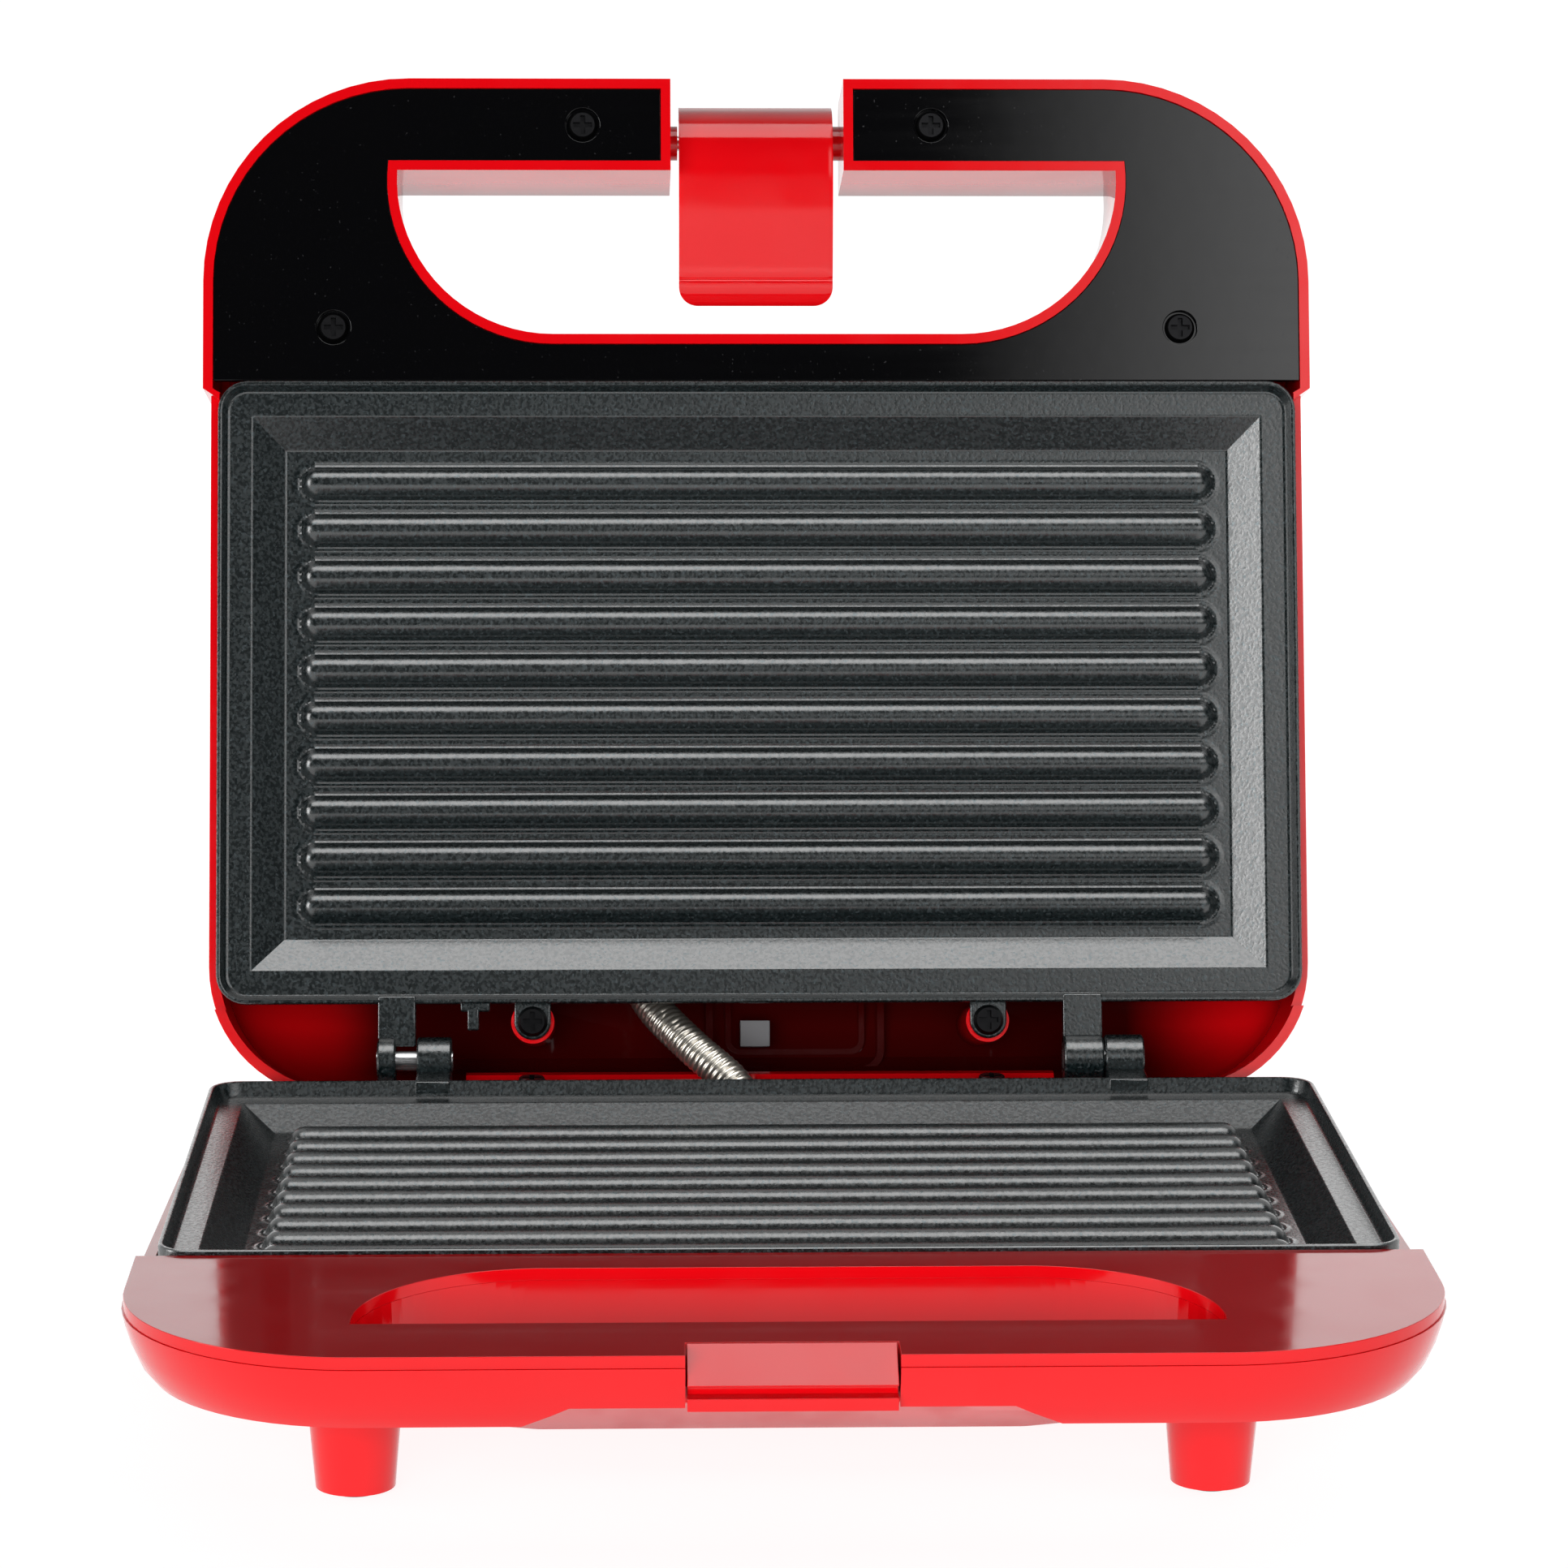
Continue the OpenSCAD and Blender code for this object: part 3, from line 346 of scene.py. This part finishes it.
bright_steel = metal_finish("bright_steel", (0.55, 0.55, 0.56), (0.72, 0.72, 0.73), 0.18)
sheath_steel = metal_finish("sheath_steel", (0.34, 0.33, 0.31), (0.5, 0.49, 0.47), 0.32)
black_steel = metal_finish("black_steel", (0.012, 0.012, 0.013), (0.03, 0.03, 0.032), 0.28)
conduit_nickel = metal_finish("conduit_nickel", (0.56, 0.52, 0.45), (0.78, 0.74, 0.66), 0.22)
print("made", bright_steel.name, sheath_steel.name, black_steel.name, conduit_nickel.name)

# %% [markdown]
# ## Rubber, small plastics and sleeves
# These are matt and lightly pebbled. The amount of pebbling is the main difference between the
# rubber of the feet, the ivory terminal block and the woven glass sleeves of the wires.

# %% Matt finishes
def matt_finish(name, dark, light, rough, pebble, height):
    material, shader, place = begin(name)
    pebbles = place.noise(pebble, 2)
    cloud = place.noise(pebble * 14, 3)
    connect(shader, Base_Color=cloud.tint(dark, light), Roughness=pebbles * 0.16 + rough,
            Normal=pebbles.bump(height, 0.5))
    return material


black_rubber = matt_finish("black_rubber", (0.012, 0.012, 0.012), (0.025, 0.025, 0.025), 0.6, 0.0007, 0.00008)
ivory_plastic = matt_finish("ivory_plastic", (0.66, 0.6, 0.48), (0.74, 0.69, 0.57), 0.38, 0.0012, 0.00003)
grey_plastic = matt_finish("grey_plastic", (0.1, 0.1, 0.105), (0.16, 0.16, 0.165), 0.4, 0.001, 0.00003)
ceramic_white = matt_finish("ceramic_white", (0.74, 0.73, 0.7), (0.84, 0.83, 0.8), 0.3, 0.0015, 0.00002)
wire_sleeve = matt_finish("wire_sleeve", (0.6, 0.58, 0.52), (0.8, 0.78, 0.72), 0.7, 0.0004, 0.00008)
print("made", black_rubber.name, ivory_plastic.name, grey_plastic.name, ceramic_white.name, wire_sleeve.name)

# %% [markdown]
# ## Lamp lenses and neon lamps
# The two lenses on top of the lid are clear moulded plastic over small neon lamps. They are off,
# so they get colour, gloss and a faint ribbing but no glow.

# %% Clear finishes
def lens_finish(name, dark, light):
    material, shader, place = begin(name, IOR=1.5, Transmission_Weight=0.5)
    ribbing = place.put("ShaderNodeTexWave", {}, {"Vector": place, "Scale": 900.0})
    connect(shader, Base_Color=ribbing.tint(dark, light), Roughness=place.noise(0.002) * 0.1 + 0.05,
            Normal=ribbing.bump(0.00005, 0.4))
    return material


red_lens = lens_finish("red_lens", (0.5, 0.01, 0.01), (0.8, 0.03, 0.02))
green_lens = lens_finish("green_lens", (0.02, 0.35, 0.05), (0.05, 0.6, 0.1))
lamp_glass = lens_finish("lamp_glass", (0.7, 0.45, 0.3), (0.9, 0.7, 0.5))
print("made", red_lens.name, green_lens.name, lamp_glass.name)

# %% [markdown]
# Every node of the frame takes the finish of its slot in the record, so that even a node that is
# seldom seen has a real material.

# %% Finishes onto the frame's nodes
finishes = {m.name: m for m in (red_plastic, black_gloss, nonstick, bright_steel, sheath_steel, black_steel,
                                conduit_nickel, black_rubber, ivory_plastic, grey_plastic, ceramic_white,
                                wire_sleeve, red_lens, green_lens, lamp_glass)}
slot_of = {part["node"]: part["material_slot"] for part in frame["record"]["subparts"]}
for node_name, node in nodes.items():
    if not node.material_slots:
        node.data.materials.append(None)
    for holder in node.material_slots:
        holder.material = finishes[slot_of[node_name]]
print("finished", len(nodes), "nodes with", len(finishes), "materials")

# %% Finish of the floor
floor_finish = matt_finish("floor_finish", (0.2, 0.2, 0.2), (0.21, 0.21, 0.21), 0.8, 0.01, 0.00001)
floor_shader = floor_finish.node_tree.nodes["Principled BSDF"]
floor_shader.inputs["Emission Strength"].default_value = 1.0
place = Wire(floor_finish.node_tree.nodes.new("ShaderNodeTexCoord").outputs["Object"])
far = place.put("ShaderNodeVectorMath", {"operation": "LENGTH"}, {0: place}, out=1).steps(0.3, 2.0)
connect(floor_shader, Emission_Color=far.tint((0.88, 0.88, 0.88), (0.96, 0.96, 0.96)))
floor_mesh.materials.append(floor_finish)
print("made", floor_finish.name)

# %% [markdown]
# ## From a drawing to a piece
# Each new piece is drawn in millimetres in a bmesh, carried to its place by a matrix, shaded
# smooth except at real edges, and tied to the body that it moves with. One helper does this.

# %% Helper: turn a bmesh into a piece
def settle(name, drawing, place, body, slot, stands_for=(), sharp=32):
    mesh = bpy.data.meshes.new(name)
    bmesh.ops.recalc_face_normals(drawing, faces=drawing.faces)
    drawing.to_mesh(mesh)
    drawing.free()
    mesh.transform(place)
    if place.determinant() < 0:
        mesh.flip_normals()
    for face in mesh.polygons:
        face.use_smooth = True
    mesh.set_sharp_from_angle(angle=math.radians(sharp))
    mesh.materials.append(finishes[slot])
    piece = bpy.data.objects.new(name, mesh)
    bpy.context.scene.collection.objects.link(piece)
    if body:
        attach(piece, body)
    if stands_for:
        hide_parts(*stands_for)
    print(name, len(mesh.vertices), "vertices")
    return piece


# %% [markdown]
# ## Housings and covers
# The frame's shells already have the right walls, holes and posts, but their normals are flat and
# their edges knife-sharp. Remodelling them would risk their fits. So each is copied, its doubled
# points are merged and its coplanar triangles joined; then a small bevel rounds the edges and
# weighted normals keep the big faces flat and the curved ones smooth.

# %% Copies of the shells with soft edges
def soften(node_name, piece_name, edge, body):
    drawing = bmesh.new()
    drawing.from_mesh(nodes[node_name].data)
    bmesh.ops.remove_doubles(drawing, verts=drawing.verts, dist=0.005 * mm)
    bmesh.ops.dissolve_limit(drawing, angle_limit=math.radians(0.4), verts=drawing.verts, edges=drawing.edges)
    piece = settle(piece_name, drawing, Matrix.Identity(4), body, slot_of[node_name], (node_name,))
    bevel = piece.modifiers.new("edges", "BEVEL")
    bevel.width, bevel.segments = edge * mm, 2
    bevel.limit_method, bevel.angle_limit = "ANGLE", math.radians(50)
    bevel.use_clamp_overlap = True
    piece.modifiers.new("normals", "WEIGHTED_NORMAL").keep_sharp = True


body_of = {name: body for body, names in frame["record"]["behaviour"]["bodies"].items() for name in names}
softened = {
    "base_shell": "base_housing", "lid_shell": "lid_housing", "base_handle_cover": "base_handle_top",
    "handle_cover": "lid_handle_inlay", "latch_catch": "catch", "cord_gland": "gland",
    "terminal_block": "terminals", "conduit_clip": "clip", "foot_pads": "foot_tips",
}
for node_name, piece_name in softened.items():
    large = "shell" in node_name or "cover" in node_name
    soften(node_name, piece_name, 0.35 if large else 0.2, body_of[node_name])
# The lid's housing takes the red with painted shade in its hollow.
bpy.data.objects["lid_housing"].material_slots[0].material = red_lid_painted_shade

# %% [markdown]
# ## Grill plates
# A grill plate is a casting: a raised rim, a flat band, a sloping bevel with mitred corners, and
# a ribbed floor. It could be sculpted, but everything on it is a rounded rectangle at some depth,
# so the border is lofted through a list of such loops and its mitres come out exact.

# %% Border of a plate, as loops of (inset, height, corner radius)
half_width, half_depth, meet_gap = 110.5, 63.75, 0.2
floor_inset, floor_depth = 13.4, 7.7
border_loops = [
    (7.0, -9.0, 2.0), (2.4, -4.6, 4.0), (0.35, -4.6, 5.7), (0.0, -4.2, 6.0), (0.0, -0.75, 6.0),
    (0.08, -0.42, 5.9), (0.3, -0.22, 5.7), (0.6, -0.2, 5.4), (0.85, -0.26, 5.1), (1.0, -0.5, 5.0),
    (1.62, -2.7, 4.4), (1.85, -3.05, 4.1), (2.2, -3.2, 3.7), (2.4, -3.2, 3.5),
    (6.55, -3.2, 0.5), (6.75, -3.2, 0.3), (6.95, -3.26, 0.1), (7.15, -3.4, 0.05),
    (12.95, -7.35, 0.05), (13.2, -7.52, 0.05), (13.45, -7.67, 0.05), (13.7, -7.7, 0.02),
]


def rounded_loop(inset, radius, height, turns=7):
    """Points of a rounded rectangle this far inside the plate's rim, the same number in every loop."""
    points = []
    for side_x, side_y, start in ((1, 1, 0), (-1, 1, 90), (-1, -1, 180), (1, -1, 270)):
        corner_x, corner_y = half_width - inset - radius, half_depth - inset - radius
        middle = Vector((side_x * corner_x, side_y * corner_y, height))
        for i in range(turns + 1):
            angle = math.radians(start + 90 * i / turns)
            points.append(middle + radius * Vector((math.cos(angle), math.sin(angle), 0)))
    return points


def loft(drawing, rings, closed=True):
    """Joins each ring of points to the next with quads."""
    made = [[drawing.verts.new(p) for p in ring] for ring in rings]
    for ring, following in zip(made, made[1:]):
        last = len(ring) if closed else len(ring) - 1
        for i in range(last):
            j = (i + 1) % len(ring)
            drawing.faces.new((ring[i], ring[j], following[j], following[i]))
    return made


# %% [markdown]
# The ribbed floor is a height field. The grid is dense only where the surface bends: across each
# rib and round its ends. The height at a point depends only on its distance from the nearest
# rib's centre line, which gives straight ribs, spherical ends and a soft foot all in one formula.

# %% Floor of a plate
rib_count, rib_radius, rib_height = 10, 3.3, 3.0
rib_half_length = half_width - floor_inset - 3.3 - rib_radius
rib_row = half_depth - floor_inset - 3.5 - rib_radius
rib_pitch = 2 * rib_row / (rib_count - 1)


def rib_profile(distance):
    """Height over the floor at this distance from a rib's centre line."""
    foot = math.sqrt(rib_radius ** 2 - (rib_radius - rib_height) ** 2)
    if distance < foot - 0.35:
        return math.sqrt(rib_radius ** 2 - distance ** 2) - (rib_radius - rib_height)
    start = math.sqrt(rib_radius ** 2 - (foot - 0.35) ** 2) - (rib_radius - rib_height)
    fall = (distance - foot + 0.35) / 0.9
    bead = 0.16 * math.exp(-((distance - foot - 0.95) / 0.32) ** 2)
    return start * max(0.0, 1 - fall) ** 2.4 + bead


def floor_height(x, y):
    nearest = round((y + rib_row) / rib_pitch)
    centre = -rib_row + min(max(nearest, 0), rib_count - 1) * rib_pitch
    return rib_profile(math.hypot(max(abs(x) - rib_half_length, 0), y - centre))


def grid_lines(fine_zones, low, high, coarse, fine):
    """Positions from low to high, close together inside the zones and far apart elsewhere."""
    lines, here = [low], low
    while here < high - 1e-6:
        inside = any(a - 1e-6 <= here < b - 1e-6 for a, b in fine_zones)
        edges = [e for zone in fine_zones for e in zone if e > here + 1e-6] + [high]
        here = min(here + (fine if inside else coarse), min(edges))
        lines.append(here)
    return lines


def ribbed_floor(drawing):
    edge_x, edge_y = half_width - floor_inset, half_depth - floor_inset
    ends = [(-edge_x + 0.5, -rib_half_length + 1.2), (rib_half_length - 1.2, edge_x - 0.5)]
    xs = grid_lines(ends, -edge_x, edge_x, 12.0, 0.4)
    ys = grid_lines([(-rib_row - 5, rib_row + 5)], -edge_y, edge_y, 1.0, rib_pitch / 24)
    rows = [[drawing.verts.new((x, y, floor_height(x, y) - floor_depth)) for x in xs] for y in ys]
    for row, following in zip(rows, rows[1:]):
        for i in range(len(xs) - 1):
            drawing.faces.new((row[i], row[i + 1], following[i + 1], following[i]))


# %% [markdown]
# ## Hinge knuckles and screw ears
# At the back the casting carries two lugs with round knuckles for the hinge pins, and two ears
# for the screws that hold the plate. A lug is a side profile pushed out along X: a tube round the
# pin with a curved neck. Rounded edges come from a bevel on the finished piece.

# %% Helpers for lugs, tubes and blocks
def turned(centre, outer, inner, x0, x1, around=40):
    """A tube along X, as rings of points."""
    edge = 0.35
    section = [(inner, x0), (outer - edge, x0), (outer, x0 + edge),
               (outer, x1 - edge), (outer - edge, x1), (inner, x1)]
    rings = []
    for r, x in section + section[:1]:
        rings.append([Vector((x, centre[0] + r * math.cos(2 * math.pi * i / around),
                              centre[1] + r * math.sin(2 * math.pi * i / around))) for i in range(around)])
    return rings


def pushed_out(drawing, outline, x0, x1, axis="X"):
    """A solid with this outline, pushed out from x0 to x1 along an axis."""
    if axis == "X":
        ends = [[drawing.verts.new((x, a, b)) for a, b in outline] for x in (x0, x1)]
    else:
        ends = [[drawing.verts.new((a, b, z)) for a, b in outline] for z in (x0, x1)]
    drawing.faces.new(ends[0])
    drawing.faces.new(list(reversed(ends[1])))
    for i in range(len(outline)):
        j = (i + 1) % len(outline)
        drawing.faces.new((ends[0][i], ends[1][i], ends[1][j], ends[0][j]))


def arc(cx, cy, radius, start, end, count):
    angles = [math.radians(start + (end - start) * i / count) for i in range(count + 1)]
    return [(cx + radius * math.cos(a), cy + radius * math.sin(a)) for a in angles]


pin_radius, knuckle_radius, arm_thickness, flange = 2.0, 4.8, 3.0, 4.4
ear_x, ear_y, ear_radius, ear_drop = 46.4, half_depth + 3.65, 3.7, 2.0


def lug(drawing, x0, x1, k0, k1, side):
    """An arm from the rim and a knuckle; side is -1 for the lower plate and 1 for the upper."""
    low, high = sorted((side * meet_gap, side * (meet_gap + arm_thickness)))
    reach = pin_back - knuckle_radius + 1.9
    root = half_depth - 1.6
    pushed_out(drawing, [(root, low), (reach, low), (reach, high), (root, high)], x0, x1)
    loft(drawing, turned((pin_back, pin_up), knuckle_radius, pin_radius + 0.06, k0, k1))


def ear(drawing, x, side):
    low, high = sorted((side * (meet_gap + ear_drop), side * (meet_gap + flange)))
    root = [(x - ear_radius, half_depth - 1), (x + ear_radius, half_depth - 1)]
    pushed_out(drawing, arc(x, ear_y, ear_radius, 0, 180, 24) + root, low, high, "Z")


def round_edges(piece, width):
    bevel = piece.modifiers.new("edges", "BEVEL")
    bevel.width, bevel.segments, bevel.limit_method = width * mm, 3, "ANGLE"
    bevel.angle_limit = math.radians(50)
    return piece


# %% [markdown]
# Both plates are the same casting turned over; only their lugs differ, so that the knuckles mesh.
# The lower plate's drawing is mirrored through the meeting plane for the upper one.

# %% The two grill plates
def grill_plate(name, place, body, node_name):
    drawing = bmesh.new()
    loft(drawing, [rounded_loop(inset, radius, height) for inset, height, radius in border_loops])
    ribbed_floor(drawing)
    underside = [rounded_loop(7.0, 2.0, -9.0), rounded_loop(11.0, 2.0, -11.1), rounded_loop(60.0, 1.0, -11.1)]
    rings = loft(drawing, underside)
    drawing.faces.new(rings[-1])
    return settle(name, drawing, place, body, "nonstick", (node_name,), 28)


mirrored = Matrix.Scale(-1, 4, (0, 0, 1))
grill_plate("lower_grill_plate", on_base, "base", "lower_plate")
grill_plate("upper_grill_plate", on_lid @ mirrored, "lid", "upper_plate")

# %% [markdown]
# A hinge has two knuckles side by side. On the left the lower plate has the inner one and on the
# right the outer one, so the lid cannot slide sideways. An upper arm on the left is wider than
# its knuckle, which leaves a bit of bare pin in view.

# %% Lugs and ears
knuckle_in, knuckle_width, hinge_length = half_width - 47.8, 7.0, 15.0
knuckle_out = knuckle_in + hinge_length
right_knuckle, thin_knuckle, axis_gap, arm_step = knuckle_in + 7.1, 3.7, 0.3, 1.2
lugs = bmesh.new()
lug(lugs, -knuckle_in - knuckle_width, -knuckle_in, -knuckle_in - knuckle_width, -knuckle_in, -1)
lug(lugs, right_knuckle, knuckle_out, right_knuckle, knuckle_out, -1)
for x in (-ear_x, ear_x):
    ear(lugs, x, -1)
round_edges(settle("lower_plate_lugs", lugs, on_base, "base", "nonstick"), 0.4)

lugs = bmesh.new()
lug(lugs, -knuckle_out, -knuckle_in - knuckle_width - axis_gap, -knuckle_out, -knuckle_out + thin_knuckle, 1)
lug(lugs, knuckle_in - arm_step, right_knuckle - axis_gap, knuckle_in - arm_step, right_knuckle - axis_gap, 1)
for x in (-ear_x, ear_x):
    ear(lugs, x, 1)
for tab_left, tab_right, tab_depth in ((-61, -55, 1.6), (-59.6, -57.2, 5.4)):
    tab_front, tab_back = half_depth - 1, half_depth + tab_depth
    tab = [(tab_front, 1.0), (tab_back, 1.0), (tab_back, flange), (tab_front, flange)]
    pushed_out(lugs, tab, tab_left, tab_right)
round_edges(settle("upper_plate_lugs", lugs, on_lid, "lid", "nonstick"), 0.4)

# %% [markdown]
# ## Latch
# The latch is a moulded hook that hangs from a pin in the gap of the handle. Its face is one
# sheet that rolls over the pin, runs straight down and ends in a finger lip with round corners.
# A line of that sheet is drawn in side view, given a width at each point, and thickened.

# %% Latch
latch_half, latch_thickness, latch_length = 16.0, 2.4, 33.0
face_back = 10.8    # from the pin to the back of the hanging face
cap_radius = 7.5    # of the roll over the pin


def latch_line():
    """The outer line of the sheet in side view: (y, z) from behind the pin to the lip."""
    line = arc(0, 0, cap_radius, 62, 100, 8)
    face = -face_back - latch_thickness
    bend = [(-5.0, 6.75), (-7.9, 5.0), (-10.2, 2.3), (-11.6, -1.2), (-12.5, -5.0), (-13.0, -9.0),
            (face, -14.0), (face, -20.0)]
    groove = [(face, -26.9), (face + 0.25, -27.1), (face + 0.25, -27.5), (face, -27.7), (face, -29.0)]
    lip = [(face + 0.1, -30.5), (face + 0.45, -31.8), (face + 0.9, -32.6), (face + 1.3, -latch_length)]
    return line + bend + groove + lip


def latch_width(z):
    """Half the latch's width at a height: full, and drawn in round the corners of the lip."""
    corner = 4.0
    rise = z + latch_length
    if rise >= corner:
        return latch_half
    return latch_half - corner + math.sqrt(max(corner ** 2 - (corner - rise) ** 2, 0))


def cut_corners(line):
    """The line with a point a quarter in from each end of every leg, and its own two ends."""
    cut = [line[0]]
    for (ay, az), (by, bz) in zip(line, line[1:]):
        cut.append((ay * 0.75 + by * 0.25, az * 0.75 + bz * 0.25))
        cut.append((ay * 0.25 + by * 0.75, az * 0.25 + bz * 0.75))
    return cut + [line[-1]]


drawing = bmesh.new()
sheet_rows = []
for y, z in cut_corners(cut_corners(latch_line())):
    half = latch_width(z)
    sheet_rows.append([Vector((half * t, y, z)) for t in (-1, -0.93, -0.6, -0.2, 0.2, 0.6, 0.93, 1)])
loft(drawing, sheet_rows, closed=False)
latch_piece = settle("latch_hook", drawing, on_latch, "latch", "red_plastic", ("latch",))
thicken = latch_piece.modifiers.new("thickness", "SOLIDIFY")
thicken.thickness, thicken.offset = latch_thickness * mm, -1
round_edges(latch_piece, 0.5)

# %% [markdown]
# ## Wiring conduit
# A spring of flattened wire guards the wires where they cross the hinge. A real spiral of so many
# turns would be heavy, so the tube's own surface carries the thread: its radius rises and falls
# along a screw line. Its path curves from the base's end to the lid's.

# %% Conduit
route = [(-2, 69.95, -13), (-5, 73.75, -4.5), (-14, 80.75, 2.5),
         (-22, 89.75, 9), (-26, 97.75, 16), (-27, 102.75, 25)]
conduit_radius, coil_pitch = 3.75, 1.25


def through(points, per_leg):
    """A smooth curve through the points."""
    padded = [points[0]] + points + [points[-1]]
    padded = [Vector(p) for p in padded]
    curve = []
    for a, b, c, d in zip(padded, padded[1:], padded[2:], padded[3:]):
        for k in range(per_leg):
            t = k / per_leg
            square, cube = 2 * a - 5 * b + 4 * c - d, 3 * b - a - 3 * c + d
            curve.append(0.5 * (2 * b + (c - a) * t + square * t ** 2 + cube * t ** 3))
    return curve + [padded[-1]]


centre_line = through(route, 60)
drawing, rings, travelled = bmesh.new(), [], 0.0
for i, point in enumerate(centre_line):
    ahead_point = centre_line[min(i + 1, len(centre_line) - 1)]
    behind_point = centre_line[max(i - 1, 0)]
    direction = (ahead_point - behind_point).normalized()
    across = direction.cross(Vector((0.9, 0.3, 0.2))).normalized()
    over = direction.cross(across)
    travelled += (point - behind_point).length
    ring = []
    for k in range(24):
        angle = 2 * math.pi * k / 24
        thread = abs(math.sin(math.pi * (travelled / coil_pitch) + angle / 2))
        radius = conduit_radius - 0.42 * (1 - thread ** 0.6)
        ring.append(point + radius * (math.cos(angle) * across + math.sin(angle) * over))
    rings.append(ring)
loft(drawing, rings)
conduit = settle("spring_conduit", drawing, on_base, None, "conduit_nickel", ("wiring_conduit",), 60)
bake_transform(conduit)

# %% [markdown]
# ## Last update
# Looks must not change the object's dimensions. The view layer is brought up to date at the end.


bpy.context.view_layer.update()
